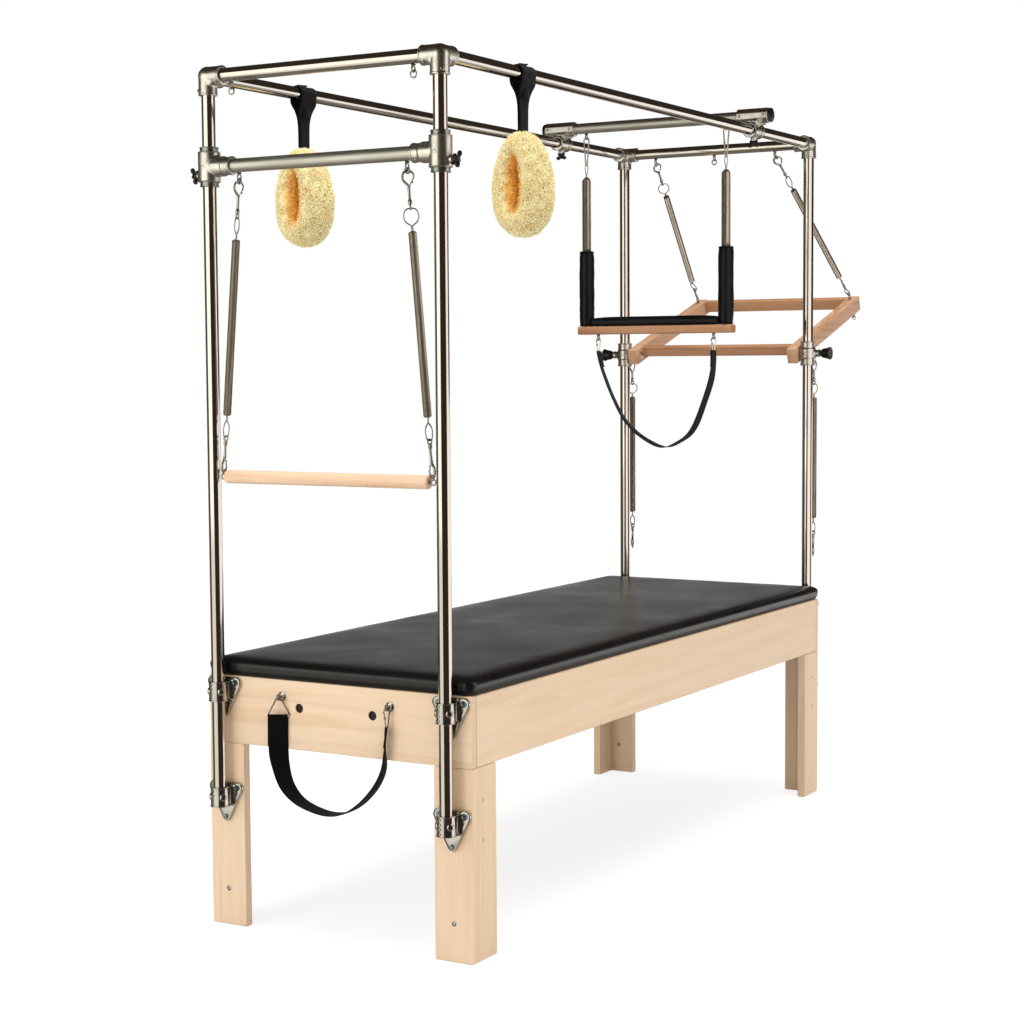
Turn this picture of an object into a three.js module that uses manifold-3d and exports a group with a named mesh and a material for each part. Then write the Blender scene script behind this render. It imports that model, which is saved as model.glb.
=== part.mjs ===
// Pilates trapeze table: a padded bed under a tubular canopy, with a sliding roll-down bar,
// a travelling trapeze, a push-through bar, hanging springs, foot loops and an end strap.
// Millimetres, +Z up. X runs along the bed, from the roll-down end to the push-through end.
import * as THREE from 'three';
import { mergeVertices } from 'three/addons/utils/BufferGeometryUtils.js';
import Module from 'manifold-3d';

const wasm = await Module();
wasm.setup();

// Clearances and facets
const gap = 0.3; // between pieces that touch
const slideGap = 0.8; // round a tube in a bore that slides or turns on it
const overrun = 2; // how far a cut runs past a face
const weld = 1e-4;
const tubeSides = 12;
const boltSides = 6;
const wireSides = 4;

// Bed
const bedLength = 2220;
const bedWidth = 785;
const railTop = 648;
const railHeight = 174;
const boardThick = 24;
const edgeRound = 2.5;
const legWide = 106;
const legDeep = 113;
const plugRadius = 12;
const plugDepth = 9;
const plugSpan = 220;
const plugDrop = 68;

// Mat: each ring is a share of its thickness, and how far it is drawn in
const matThick = 37;
const matCrown = 3;
const matOverhang = 6;
const matCorner = 24;
const matCornerSteps = 4;
const matRings = [
  { heightShare: 0, drawnIn: 5 },
  { heightShare: 0.2, drawnIn: 1 },
  { heightShare: 0.5, drawnIn: 0 },
  { heightShare: 0.82, drawnIn: 3 },
  { heightShare: 1, drawnIn: 14 },
];
const crownInset = 120;

// Canopy
const tubeRadius = 17;
const tubeWall = 2.5;
const postOutset = 30; // from the bed's end face to the posts' axes
const postInset = 52.5; // from the bed's long face to the posts' axes
const canopyHeight = 2150;
const collarRadius = 23.5;
const elbowReach = 48;
const elbowRadius = 25;
const tubeEnd = 20; // from the corner point to where each tube stops in its elbow
const endTubeEyeY = 267;

// Corner brackets
const flangeThick = 7;
const flangeHalfWide = 52;
const flangeCorner = 14;
const flangeTall = 102;
const flangeTip = 12;
const flangeArcSteps = 3;
const bracketCollarTall = 50;
const bracketCollarDrop = 9;
const bracketNeckWide = 32;
const boltHeadRadius = 6;
const boltHeadThick = 4;
const boltSpread = 34;
const upperBracketDrop = 3; // from the rail's top edge to the flange
const lowerBracketDrop = 100; // from the leg's top edge to the flange

// Eyes, links and springs
const eyeRadius = 7;
const eyeWire = 2.2;
const eyeDrop = 12; // from a surface to the centre of its eye
const eyeSteps = 8;
const eyeBite = 1.8; // how far a shank sinks into what carries it
const linkWire = 2;
const linkHalf = 6.5;
const linkBite = 3.4; // between the wire centres of two links that hold each other
const curlSteps = 8;
const curlsPerSpring = 6;
const curlGap = 1.2;
const curlLip = 1; // height of the strip where it starts
const stripThick = 3.4;
const stripCrown = 0.8;
const noseTip = 3.6;
const noseBite = 0.5;
const noseLength = 14;

// Slide bar and roll-down bar
const slideDrop = 223; // from the canopy's tubes to the slide bar
const teeRadius = 28;
const teeTall = 76;
const bushRadius = 23;
const bushTall = 98;
const branchRadius = 22.5;
const branchReach = 75;
const slideTubeStart = 34;
const slideEyeY = 247;
const knobDrop = 20;
const rollBarDrop = 770; // from the slide bar to the roll-down bar
const rollBarHalf = 301;
const rollEyeOut = 10; // from the dowel's end to the centre of its eye
const rollBarRadius = 16.5;
const rollSpringRadius = 10.5;
const rollHook = 100;
const rollLoop = 56;

// Turned knobs with a cross bar
const knobBossRadius = 9;
const knobBossReach = 36;
const knobHubRadius = 8;
const knobHubLength = 8;
const knobBarLength = 42;
const knobBarWide = 11;
const knobBarDeep = 9;
const knobScrewRadius = 3.8;
const knobScrewLength = 12;
const knobTilt = 0.35;

// Trapeze carriage
const carriageX = 684;
const crossRise = 44;
const crossHalf = 396;
const saddleLong = 106;
const clampLong = 70;
const saddleWeb = 36;
const saddleBossReach = 33;
const trapezeEyeY = 247;

// Trapeze seat
const seatDrop = 597; // from the canopy's tubes to the board's top
const seatBoardThick = 26;
const seatBoardHalf = 272;
const seatBoardWide = 44;
const sleeveTall = 244; // above the board
const sleeveRadius = 25;
const seatPadTall = 29;
const seatPadWide = 46;
const seatPadRound = 9;
const trapezeSpringRadius = 15;
const trapezeHook = 88;
const trapezeLoop = 43;
const strapEyeY = 205;
const sleeveGap = 0.8;

// Webbing
const webWide = 50;
const webThick = 4;
const strapLink = 40;
const strapDrop = 309; // from the links to the middle of the trapeze strap
const webWrap = 9; // how far the webbing's sewn end laps the link

// Push-through bar
const pushPivotHeight = 1462;
const pushCollarTall = 80;
const pushBandTall = 36;
const pushBandRadius = 26;
const pushNeckRadius = 10;
const pushNeckReach = 42;
const armThick = 36;
const armTall = 52;
const armOutset = 27; // from the post's axis to the arm's outer face
const armHeel = 30;
const armReach = 591;
const armAngle = 17.8 * (Math.PI / 180);
const outerRailDeep = 28;
const outerRailTall = 39;
const pivotRailDeep = 24;
const pivotRailTall = 34;
const pivotRailAlong = 31;
const pivotRailUp = 4;
const pivotPinRadius = 6;
const pivotHeadRadius = 10;
const pivotHeadThick = 3.5;
const pivotWasherRadius = 13;
const topEyeInset = 49; // from the arm's outer end
const lowEyeInset = 26;
const pushSpringRadius = 10.5;
const pushEyeY = 220;
const pushHook = 92;
const pushLoop = 46;
const plungerPin = 4;
const plungerFace = 21;
const plungerNeck = 9;
const plungerWaist = 17;
const plungerLong = 38;
const plungerStart = 42.5;

// Springs that hang by the foot posts
const legEyeReach = 57;
const legEyeDrop = 14;
const legSpringRadius = 10.5;
const legSpringDrop = 668;
const legHook = 88;
const legLoop = 48;

// Foot loops
const farLoopInset = 400; // from the head posts' axes
const nearLoopInset = 385;
const wrapWide = 76;
const strapWide = 40;
const wrapThick = 5;
const strapHalfThick = 4;
const wrapShoulder = 26;
const strapWaist = 62;
const strapReach = 150;
const fleeceTop = 138;
const fleeceHalfTall = 133;
const fleeceHalfDeep = 80;
const fleeceHalfWide = 62;
const slitHalfTall = 56;
const slitHalfDeep = 12;
const fleeceSteps = 16;
const fleeceSides = 8;
const fleeceEggShare = 0.16;

// End strap
const endEyeY = 162;
const endEyeDrop = 42; // from the rail's top edge
const endStrapDrop = 277; // from the eyes to the lowest point of the end strap
const endEyeReach = 15;
const endEyeFlange = 12;
const endEyeFlangeThick = 4;
const triangleTop = 6.5;
const triangleBottom = 27;
const triangleTall = 44;
const endClip = 48;

// Stations of the end strap: how far across, how far down, how wide, and how far it has turned
// towards the bed's length
const endStrapShares = [
  { acrossShare: 1.012, dropShare: 0.148, wideShare: 1, turnShare: 1 },
  { acrossShare: 1.012, dropShare: 0.43, wideShare: 1, turnShare: 1 },
  { acrossShare: 0.963, dropShare: 0.592, wideShare: 1, turnShare: 0.95 },
  { acrossShare: 0.809, dropShare: 0.794, wideShare: 1, turnShare: 0.7 },
  { acrossShare: 0.444, dropShare: 0.957, wideShare: 1, turnShare: 0.25 },
  { acrossShare: 0, dropShare: 1, wideShare: 1, turnShare: 0 },
  { acrossShare: -0.389, dropShare: 0.913, wideShare: 0.96, turnShare: 0 },
  { acrossShare: -0.704, dropShare: 0.744, wideShare: 0.84, turnShare: 0 },
  { acrossShare: -0.907, dropShare: 0.574, wideShare: 0.6, turnShare: 0.1 },
  { acrossShare: -0.975, dropShare: 0.43, wideShare: 0.44, turnShare: 0.2 },
  { acrossShare: -1, dropShare: 0.166, wideShare: 0.44, turnShare: 0.25 },
];

// Stations of the trapeze strap's half, from its middle to its link
const trapezeStrapShares = [
  { acrossShare: 0, dropShare: 1 },
  { acrossShare: 0.302, dropShare: 0.916 },
  { acrossShare: 0.624, dropShare: 0.702 },
  { acrossShare: 0.859, dropShare: 0.327 },
  { acrossShare: 0.966, dropShare: 0.155 },
  { acrossShare: 1, dropShare: 0 },
];

// Materials
const finish = (color, roughness, metalness) => ({ color, roughness, metalness });
const polishedSteel = finish(0xb9bab8, 0.18, 1);
const satinMetal = finish(0xaeb0ab, 0.4, 1);
const castMetal = finish(0xa9aba9, 0.32, 1);
const springSteel = finish(0x8a7f70, 0.35, 1);
const maple = finish(0xecca9f, 0.55, 0);
const tanWood = finish(0xc39260, 0.5, 0);
const dowelWood = finish(0xf0c49c, 0.5, 0);
const blackVinyl = finish(0x202022, 0.5, 0);
const blackPlastic = finish(0x141414, 0.45, 0);
const blackWeb = finish(0x161616, 0.9, 0);
const fleece = finish(0xf0dca8, 1, 0);

// Solids are passed about as closed geometries and joined or cut as manifolds
function toManifold(geometry) {
  const bare = geometry.clone();
  bare.deleteAttribute('normal');
  bare.deleteAttribute('uv');
  const welded = mergeVertices(bare, weld);
  return new wasm.Manifold(new wasm.Mesh({
    numProp: 3,
    vertProperties: new Float32Array(welded.attributes.position.array),
    triVerts: new Uint32Array(welded.index.array),
  }));
}

function toGeometry(manifold) {
  const mesh = manifold.getMesh();
  const geometry = new THREE.BufferGeometry();
  geometry.setAttribute('position', new THREE.BufferAttribute(mesh.vertProperties, mesh.numProp));
  geometry.setIndex(new THREE.BufferAttribute(mesh.triVerts, 1));
  return geometry;
}

const join = (...parts) => toGeometry(parts.map(toManifold).reduce((sum, part) => sum.add(part)));
const cut = (base, ...tools) => toGeometry(tools.map(toManifold)
  .reduce((rest, tool) => rest.subtract(tool), toManifold(base)));

const at = (geometry, x, y, z) => geometry.clone().translate(x, y, z);

// A round bar centred on the origin; bars along one axis share their facets
function bar(radius, length, axis, sides = tubeSides) {
  const geometry = new THREE.CylinderGeometry(radius, radius, length, sides);
  if (axis === 'x') geometry.rotateZ(Math.PI / 2);
  if (axis === 'z') geometry.rotateX(Math.PI / 2);
  return geometry;
}

// The same bar, between two distances along its axis
function barSpan(radius, from, to, axis, sides = tubeSides) {
  const middle = (from + to) / 2;
  const shift = { x: [middle, 0, 0], y: [0, middle, 0], z: [0, 0, middle] }[axis];
  return at(bar(radius, Math.abs(to - from), axis, sides), ...shift);
}

// A length of the canopy's tube between two distances along an axis
const tube = (from, to, axis) => cut(barSpan(tubeRadius, from, to, axis),
  barSpan(tubeRadius - tubeWall, Math.min(from, to) - overrun, Math.max(from, to) + overrun, axis));

const block = (sizeX, sizeY, sizeZ) => new THREE.BoxGeometry(sizeX, sizeY, sizeZ);

// An outline in the XY plane, drawn upwards by tall, with its edges eased
function eased(shape, tall) {
  const geometry = new THREE.ExtrudeGeometry(shape, {
    depth: tall - edgeRound * 2,
    bevelThickness: edgeRound,
    bevelSize: edgeRound,
    bevelOffset: -edgeRound,
    bevelSegments: 1,
  });
  return geometry.translate(0, 0, edgeRound);
}

function rectangle(halfX, halfY) {
  return new THREE.Shape([
    new THREE.Vector2(-halfX, -halfY),
    new THREE.Vector2(halfX, -halfY),
    new THREE.Vector2(halfX, halfY),
    new THREE.Vector2(-halfX, halfY),
  ]);
}

// A board centred on the origin, its edges eased
const board = (sizeX, sizeY, sizeZ) => eased(rectangle(sizeX / 2, sizeY / 2), sizeZ)
  .translate(0, 0, -sizeZ / 2);

// A closed skin through equal rings of points; open runs get flat ends
function skin(rings, closed = false) {
  const count = rings[0].length;
  const position = rings.flat().flatMap((point) => point.toArray());
  const index = [];
  const spans = closed ? rings.length : rings.length - 1;
  for (let i = 0; i < spans; i += 1) {
    const here = i * count;
    const next = ((i + 1) % rings.length) * count;
    for (let j = 0; j < count; j += 1) {
      const k = (j + 1) % count;
      index.push(here + j, here + k, next + k, here + j, next + k, next + j);
    }
  }
  if (!closed) {
    const last = spans * count;
    for (let j = 1; j < count - 1; j += 1) {
      index.push(0, j + 1, j, last, last + j, last + j + 1);
    }
  }
  const geometry = new THREE.BufferGeometry();
  geometry.setAttribute('position', new THREE.Float32BufferAttribute(position, 3));
  geometry.setIndex(index);
  if (signedVolume(geometry) < 0) geometry.setIndex(index.reverse());
  return geometry;
}

function signedVolume(geometry) {
  const { position } = geometry.attributes;
  const corner = [0, 1, 2].map(() => new THREE.Vector3());
  let volume = 0;
  for (let i = 0; i < geometry.index.count; i += corner.length) {
    corner.forEach((point, j) => point.fromBufferAttribute(position, geometry.index.getX(i + j)));
    volume += corner[0].dot(corner[1].cross(corner[2]));
  }
  return volume;
}

// A wire bent to a closed flat path in the YZ plane, around the X axis
function wireLoop(path, wire) {
  const across = new THREE.Vector3(1, 0, 0);
  const rings = path.map((point, i) => {
    const before = path[(i + path.length - 1) % path.length];
    const after = path[(i + 1) % path.length];
    const along = after.clone().sub(before).normalize();
    const side = new THREE.Vector3().crossVectors(along, across);
    return Array.from({ length: wireSides }, (_, j) => {
      const turn = (j / wireSides) * Math.PI * 2;
      return point.clone()
        .addScaledVector(side, wire * Math.cos(turn))
        .addScaledVector(across, wire * Math.sin(turn));
    });
  });
  return skin(rings, true);
}

const inYZ = (y, z) => new THREE.Vector3(0, y, z);

// A ring that stands in the XZ plane, with a flat chord of wire at its top and bottom
function eyeRing() {
  const path = Array.from({ length: eyeSteps }, (_, i) => {
    const turn = ((i + 1 / 2) / eyeSteps) * Math.PI * 2;
    return inYZ(eyeRadius * Math.cos(turn), eyeRadius * Math.sin(turn));
  });
  return wireLoop(path, eyeWire).rotateZ(Math.PI / 2);
}

const eyeFlat = eyeRadius * Math.cos(Math.PI / eyeSteps);

// An eye whose shank runs up from its ring, by reach in all
const eyeBolt = (reach) => join(eyeRing(), barSpan(eyeWire, eyeFlat, reach, 'z', boltSides));

// How far a link's wire sits from the centre of the eye it hangs in
const hang = eyeFlat - eyeWire - linkWire - gap;

// A long link that hangs in the YZ plane from the origin, by length between its end wires
function link(length, topHalf = linkHalf, bottomHalf = linkHalf) {
  const slope = Math.tan(Math.PI / 6);
  const path = [
    inYZ(0, 0), inYZ(topHalf, -topHalf * slope), inYZ(bottomHalf, linkHalf * slope - length),
    inYZ(0, -length), inYZ(-bottomHalf, linkHalf * slope - length), inYZ(-topHalf, -topHalf * slope),
  ];
  return wireLoop(path, linkWire);
}

// The strip of a coil, wound down from the origin, flat at both ends; its curls never touch
function coilStrip(radius, tall) {
  const steps = curlsPerSpring * curlSteps;
  const pitch = (tall - curlLip * 2 - curlGap) / (curlsPerSpring - 1);
  const foot = (i) => (i > steps - curlSteps ? -tall : -curlLip - (pitch * i) / curlSteps);
  const head = (i) => (i < curlSteps ? 0 : foot(i - curlSteps) - curlGap);
  const inner = radius - stripThick;
  const edge = radius - stripCrown;
  const rings = Array.from({ length: steps + 1 }, (_, i) => {
    const turn = (i / curlSteps) * Math.PI * 2;
    const middle = (foot(i) + head(i)) / 2;
    const section = [
      [inner, foot(i)], [inner, head(i)], [edge, head(i)], [radius, middle], [edge, foot(i)],
    ];
    return section.map(([reach, z]) => new THREE.Vector3(
      reach * Math.cos(turn), reach * Math.sin(turn), z));
  });
  const selfGap = Math.min(...rings.slice(curlSteps).flatMap((ring, i) => ring.flatMap(
    (low) => rings[i].map((high) => low.distanceTo(high)))));
  console.log(`coil of radius ${radius} mm, least gap to itself ${selfGap.toFixed(2)} mm`);
  return skin(rings);
}

// A coil with a nose at each end, wound down from the origin
function coilBody(radius, tall) {
  const strip = at(coilStrip(radius, tall - noseLength * 2), 0, 0, -noseLength);
  const nose = new THREE.CylinderGeometry(noseTip, radius - stripCrown / 2, noseLength + noseBite,
    curlSteps).rotateX(Math.PI / 2).rotateZ(Math.PI / 2);
  const reach = (noseLength + noseBite) / 2;
  return join(strip, at(nose, 0, 0, -reach), at(nose.clone().rotateX(Math.PI), 0, 0, reach - tall));
}

// A spring that hangs down from the origin by drop, with a hook and a loop at its ends
function spring(radius, drop, hook, loop, { turned = false, shank = false } = {}) {
  const head = hook + loop - linkBite;
  const foot = shank ? 0 : head;
  const tall = drop - head - foot + linkWire * 2;
  const coilTop = linkWire - head;
  const parts = [
    link(hook),
    at(link(loop).rotateZ(Math.PI / 2), 0, 0, linkBite - hook),
    at(coilBody(radius, shank ? tall - noseLength : tall), 0, 0, coilTop),
  ];
  if (shank) {
    parts.push(barSpan(noseTip, coilTop - tall + noseLength + overrun, -drop, 'z', boltSides));
  } else {
    const lowHook = link(hook);
    const lowLoop = link(loop);
    (turned ? lowHook : lowLoop).rotateZ(Math.PI / 2);
    parts.push(at(lowHook, 0, 0, hook - drop), at(lowLoop, 0, 0, head - drop));
  }
  return join(...parts);
}

// A hand knob with a cross bar; its screw runs up from the origin along Z
function crossKnob() {
  const hubEnd = -knobHubLength;
  return join(
    barSpan(knobScrewRadius, -overrun, knobScrewLength, 'z', curlSteps),
    barSpan(knobHubRadius, 0, hubEnd - overrun, 'z', curlSteps),
    at(block(knobBarLength, knobBarWide, knobBarDeep), 0, 0, hubEnd - knobBarDeep / 2),
  );
}

// The group and its pieces
const table = new THREE.Group();
table.name = 'pilates_trapeze_table';
const content = new THREE.Group();
table.add(content);

function piece(name, geometry, look, x = 0, y = 0, z = 0) {
  const flat = geometry.index ? geometry.toNonIndexed() : geometry.clone();
  flat.computeVertexNormals();
  const mesh = new THREE.Mesh(flat, new THREE.MeshStandardMaterial(look));
  mesh.name = name;
  mesh.position.set(x, y, z);
  content.add(mesh);
  return mesh;
}

const ends = [{ end: 'head', alongX: -1 }, { end: 'foot', alongX: 1 }];
const sides = [{ side: 'near', acrossY: -1 }, { side: 'far', acrossY: 1 }];
const corners = ends.flatMap((end) => sides.map((side) => ({ ...end, ...side })));
const faceX = bedLength / 2;
const faceY = bedWidth / 2;
const postX = faceX + postOutset;
const postY = faceY - postInset;
const legTop = railTop - railHeight;
const lowerBracketTop = legTop - lowerBracketDrop;

function buildBed() {
  const railZ = railTop - railHeight / 2;
  const sideLength = bedLength - (boardThick + gap) * 2;
  for (const { side, acrossY } of sides) {
    const rail = board(sideLength, boardThick, railHeight);
    piece(`side_rail_${side}`, rail, maple, 0, acrossY * (faceY - boardThick / 2), railZ);
  }
  for (const { end, alongX } of ends) {
    let rail = board(boardThick, bedWidth, railHeight);
    if (alongX < 0) rail = headRail(rail, railZ);
    piece(`end_rail_${end}`, rail, maple, alongX * (faceX - boardThick / 2), 0, railZ);
  }
  for (const { end, side, alongX, acrossY } of corners) {
    piece(`leg_${end}_${side}`, leg(alongX, acrossY), maple, alongX * faceX, acrossY * faceY);
  }
  piece('mat', mat(), blackVinyl, 0, 0, railTop + gap);
}

// The head rail carries the two strap eyes and has two plugged holes
function headRail(rail, railZ) {
  const face = -boardThick / 2;
  const plug = barSpan(plugRadius, face - overrun, face + plugDepth, 'x');
  const eye = join(
    at(eyeRing(), face - endEyeReach, 0, 0),
    barSpan(eyeWire, face - endEyeReach + eyeFlat, face + overrun, 'x', boltSides),
    barSpan(endEyeFlange, face - endEyeFlangeThick, face + overrun, 'x'),
  );
  const eyeZ = railTop - endEyeDrop - railZ;
  const holed = cut(rail, ...sides.map(({ acrossY }) => at(plug,
    0, (acrossY * plugSpan) / 2, railHeight / 2 - plugDrop)));
  return join(holed, ...sides.map(({ acrossY }) => at(eye, 0, acrossY * endEyeY, eyeZ)));
}

// Two boards in an angle, outer corner at the origin, flush with the rails above
function leg(alongX, acrossY) {
  const point = (inX, inY) => new THREE.Vector2(-alongX * inX, -acrossY * inY);
  const outline = [
    point(0, 0), point(legDeep, 0), point(legDeep, boardThick),
    point(boardThick, boardThick), point(boardThick, legWide), point(0, legWide),
  ];
  return eased(new THREE.Shape(outline), legTop - gap);
}

function roundedRing(halfX, halfY, corner, z) {
  const ring = [];
  for (const [signX, signY, start] of [[1, 1, 0], [-1, 1, 1], [-1, -1, 2], [1, -1, 3]]) {
    for (let i = 0; i <= matCornerSteps; i += 1) {
      const turn = (start + i / matCornerSteps) * (Math.PI / 2);
      ring.push(new THREE.Vector3(
        signX * (halfX - corner) + corner * Math.cos(turn),
        signY * (halfY - corner) + corner * Math.sin(turn), z));
    }
  }
  return ring;
}

function mat() {
  const halfX = faceX + matOverhang;
  const halfY = faceY + matOverhang;
  const rings = matRings.map(({ heightShare, drawnIn }) => roundedRing(
    halfX - drawnIn, halfY - drawnIn, matCorner, matThick * heightShare));
  const crown = roundedRing(halfX - crownInset, halfY - crownInset, matCorner, matThick + matCrown);
  return skin([...rings, crown]);
}

// An elbow for the head's near corner: sockets down, along +X and along +Y
function elbow() {
  const reach = (radius, from, to) => ['x', 'y', 'z'].map((axis) => (axis === 'z'
    ? barSpan(radius, -from, -to, axis) : barSpan(radius, from, to, axis)));
  const body = join(new THREE.SphereGeometry(elbowRadius, tubeSides, tubeSides / 2),
    ...reach(collarRadius, 0, elbowReach));
  return cut(body, ...reach(tubeRadius + gap, tubeEnd - gap, elbowReach + overrun));
}

function buildCanopy() {
  const quarter = { head_near: 0, foot_near: 1, foot_far: 2, head_far: 3 };
  const postFoot = lowerBracketTop - bracketCollarDrop - bracketCollarTall + overrun;
  const postTop = canopyHeight - tubeEnd;
  for (const { end, side, alongX, acrossY } of corners) {
    const place = [alongX * postX, acrossY * postY];
    piece(`post_${end}_${side}`, tube(postFoot, postTop, 'z'), polishedSteel, ...place);
    const corner = piece(`elbow_${end}_${side}`, elbow(), castMetal, ...place, canopyHeight);
    corner.rotation.z = quarter[`${end}_${side}`] * (Math.PI / 2);
    const uses = [
      { use: 'upper', top: railTop - upperBracketDrop }, { use: 'lower', top: lowerBracketTop },
    ];
    for (const { use, top } of uses) {
      const holder = piece(`bracket_${use}_${end}_${side}`, bracket(), castMetal, ...place, top);
      holder.rotation.z = alongX < 0 ? 0 : Math.PI;
    }
  }
  for (const { side, acrossY } of sides) {
    const topTube = tube(tubeEnd - postX, postX - tubeEnd, 'x');
    piece(`top_tube_${side}`, topTube, polishedSteel, 0, acrossY * postY, canopyHeight);
  }
  const headTube = eyedTube(postY - tubeEnd, [-endTubeEyeY, endTubeEyeY]);
  const footTube = eyedTube(postY - tubeEnd, [-pushEyeY, 0, pushEyeY]);
  piece('end_tube_head', headTube, polishedSteel, -postX, 0, canopyHeight);
  piece('end_tube_foot', footTube, polishedSteel, postX, 0, canopyHeight);
}

const eyeBelowTube = tubeRadius + eyeDrop;

// A tube along Y with eyes below it
const eyedTube = (half, eyes) => join(tube(-half, half, 'y'),
  ...eyes.map((y) => at(eyeBolt(eyeDrop + eyeBite), 0, y, -eyeBelowTube)));

// A post bracket: origin on the post's axis at the flange's top edge, the bed towards +X
function bracket() {
  const faceReach = postX - faceX - gap;
  const plateX = faceReach - flangeThick;
  const shape = new THREE.Shape();
  const cornerY = flangeHalfWide - flangeCorner;
  const tipTurn = Math.PI * 7 / 6;
  shape.absarc(cornerY, -flangeCorner, flangeCorner, tipTurn + Math.PI / 2, Math.PI * 5 / 2);
  shape.absarc(-cornerY, -flangeCorner, flangeCorner, Math.PI / 2, tipTurn);
  shape.absarc(0, flangeTip - flangeTall, flangeTip, tipTurn, tipTurn + Math.PI * 2 / 3);
  const plate = new THREE.ExtrudeGeometry(shape, {
    depth: flangeThick, bevelEnabled: false, curveSegments: flangeArcSteps,
  }).applyMatrix4(new THREE.Matrix4().makeBasis(
    new THREE.Vector3(0, 1, 0), new THREE.Vector3(0, 0, 1), new THREE.Vector3(1, 0, 0)))
    .translate(plateX, 0, 0);
  const collarTop = -bracketCollarDrop;
  const collarFoot = collarTop - bracketCollarTall;
  const collarMiddle = (collarTop + collarFoot) / 2;
  const head = barSpan(boltHeadRadius, plateX - boltHeadThick, plateX + overrun, 'x', boltSides);
  const body = join(plate,
    barSpan(collarRadius, collarTop, collarFoot, 'z'),
    at(block(faceReach - tubeRadius, bracketNeckWide, bracketCollarTall),
      (faceReach + tubeRadius) / 2, 0, collarMiddle),
    at(head, 0, boltSpread, -flangeCorner),
    at(head, 0, -boltSpread, -flangeCorner),
    at(head, 0, 0, flangeTip - flangeTall));
  return cut(body, barSpan(tubeRadius + gap, collarTop + overrun, collarFoot - overrun, 'z'));
}

// A tee for the near head post: origin on the post's axis, branch towards +Y
function slideTee() {
  const body = join(bar(teeRadius, teeTall, 'z'), bar(bushRadius, bushTall, 'z'),
    barSpan(branchRadius, 0, branchReach, 'y'),
    at(barSpan(knobBossRadius, 0, -knobBossReach, 'y', curlSteps), 0, 0, -knobDrop));
  return cut(body, bar(tubeRadius + slideGap, bushTall + overrun * 2, 'z'),
    barSpan(tubeRadius + gap, slideTubeStart - gap, branchReach + overrun, 'y'),
    at(barSpan(knobScrewRadius + slideGap, -tubeRadius, -knobBossReach - overrun, 'y', curlSteps),
      0, 0, -knobDrop));
}

const slideHeight = canopyHeight - slideDrop;

function buildSlideBar() {
  const slideTube = eyedTube(postY - slideTubeStart, [-slideEyeY, slideEyeY]);
  piece('slide_bar_tube', slideTube, satinMetal, -postX, 0, slideHeight);
  for (const { side, acrossY } of sides) {
    const tee = piece(`slide_tee_${side}`, slideTee(), castMetal, -postX, acrossY * postY, slideHeight);
    tee.rotation.z = acrossY < 0 ? 0 : Math.PI;
    const knobY = acrossY * (postY + knobBossReach + gap);
    const knobShape = crossKnob().rotateZ(knobTilt + Math.PI / 2).rotateX(acrossY * (Math.PI / 2));
    piece(`slide_knob_${side}`, knobShape, blackPlastic, -postX, knobY, slideHeight - knobDrop);
  }
}

// Turns a piece that hangs down from the origin so that it runs along a direction, its Y kept level
function hungAlong(geometry, direction) {
  const up = direction.clone().negate().normalize();
  const forward = new THREE.Vector3().crossVectors(new THREE.Vector3(0, 1, 0), up).normalize();
  const level = new THREE.Vector3().crossVectors(up, forward);
  return geometry.applyMatrix4(new THREE.Matrix4().makeBasis(forward, level, up));
}

// The point where a link's wire sits in an eye, pulled along a direction
const pulled = (eye, direction) => eye.clone().addScaledVector(direction.clone().normalize(), hang);

function buildRollDown() {
  const rollBarHeight = slideHeight - rollBarDrop;
  const eyeY = rollBarHalf + rollEyeOut;
  const endEye = eyeBolt(rollEyeOut + eyeBite).rotateZ(Math.PI / 2);
  const barEyes = sides.map(({ acrossY }) => at(endEye.clone().rotateX(acrossY * (Math.PI / 2)),
    0, acrossY * eyeY, 0));
  piece('roll_down_bar', join(bar(rollBarRadius, rollBarHalf * 2, 'y'), ...barEyes), dowelWood,
    -postX, 0, rollBarHeight);
  for (const { side, acrossY } of sides) {
    const upper = new THREE.Vector3(-postX, acrossY * slideEyeY, slideHeight - eyeBelowTube);
    const lower = new THREE.Vector3(-postX, acrossY * eyeY, rollBarHeight);
    const run = lower.clone().sub(upper);
    const start = pulled(upper, new THREE.Vector3(0, 0, -1));
    const stop = pulled(lower, run.clone().negate());
    const length = start.distanceTo(stop);
    const shape = spring(rollSpringRadius, length, rollHook, rollLoop, { turned: true });
    piece(`roll_down_spring_${side}`, hungAlong(shape, run), springSteel, ...start);
  }
}

const crossHeight = canopyHeight + crossRise;
const trapezeEyeZ = crossHeight - eyeBelowTube;
const seatBoardTop = canopyHeight - seatDrop;
const seatBoardFoot = seatBoardTop - seatBoardThick;

// A saddle: origin where the long tube's axis crosses below the cross tube
function saddle() {
  const body = join(at(bar(collarRadius, saddleLong, 'y'), 0, 0, crossRise),
    bar(collarRadius, clampLong, 'x'),
    at(block(saddleWeb, saddleWeb, crossRise), 0, 0, crossRise / 2),
    barSpan(knobBossRadius, 0, -saddleBossReach, 'z', curlSteps));
  return cut(body, at(bar(tubeRadius + gap, saddleLong + overrun * 2, 'y'), 0, 0, crossRise),
    bar(tubeRadius + slideGap, clampLong + overrun * 2, 'x'),
    barSpan(knobScrewRadius + slideGap, -tubeRadius, -saddleBossReach - overrun, 'z', curlSteps));
}

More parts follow.
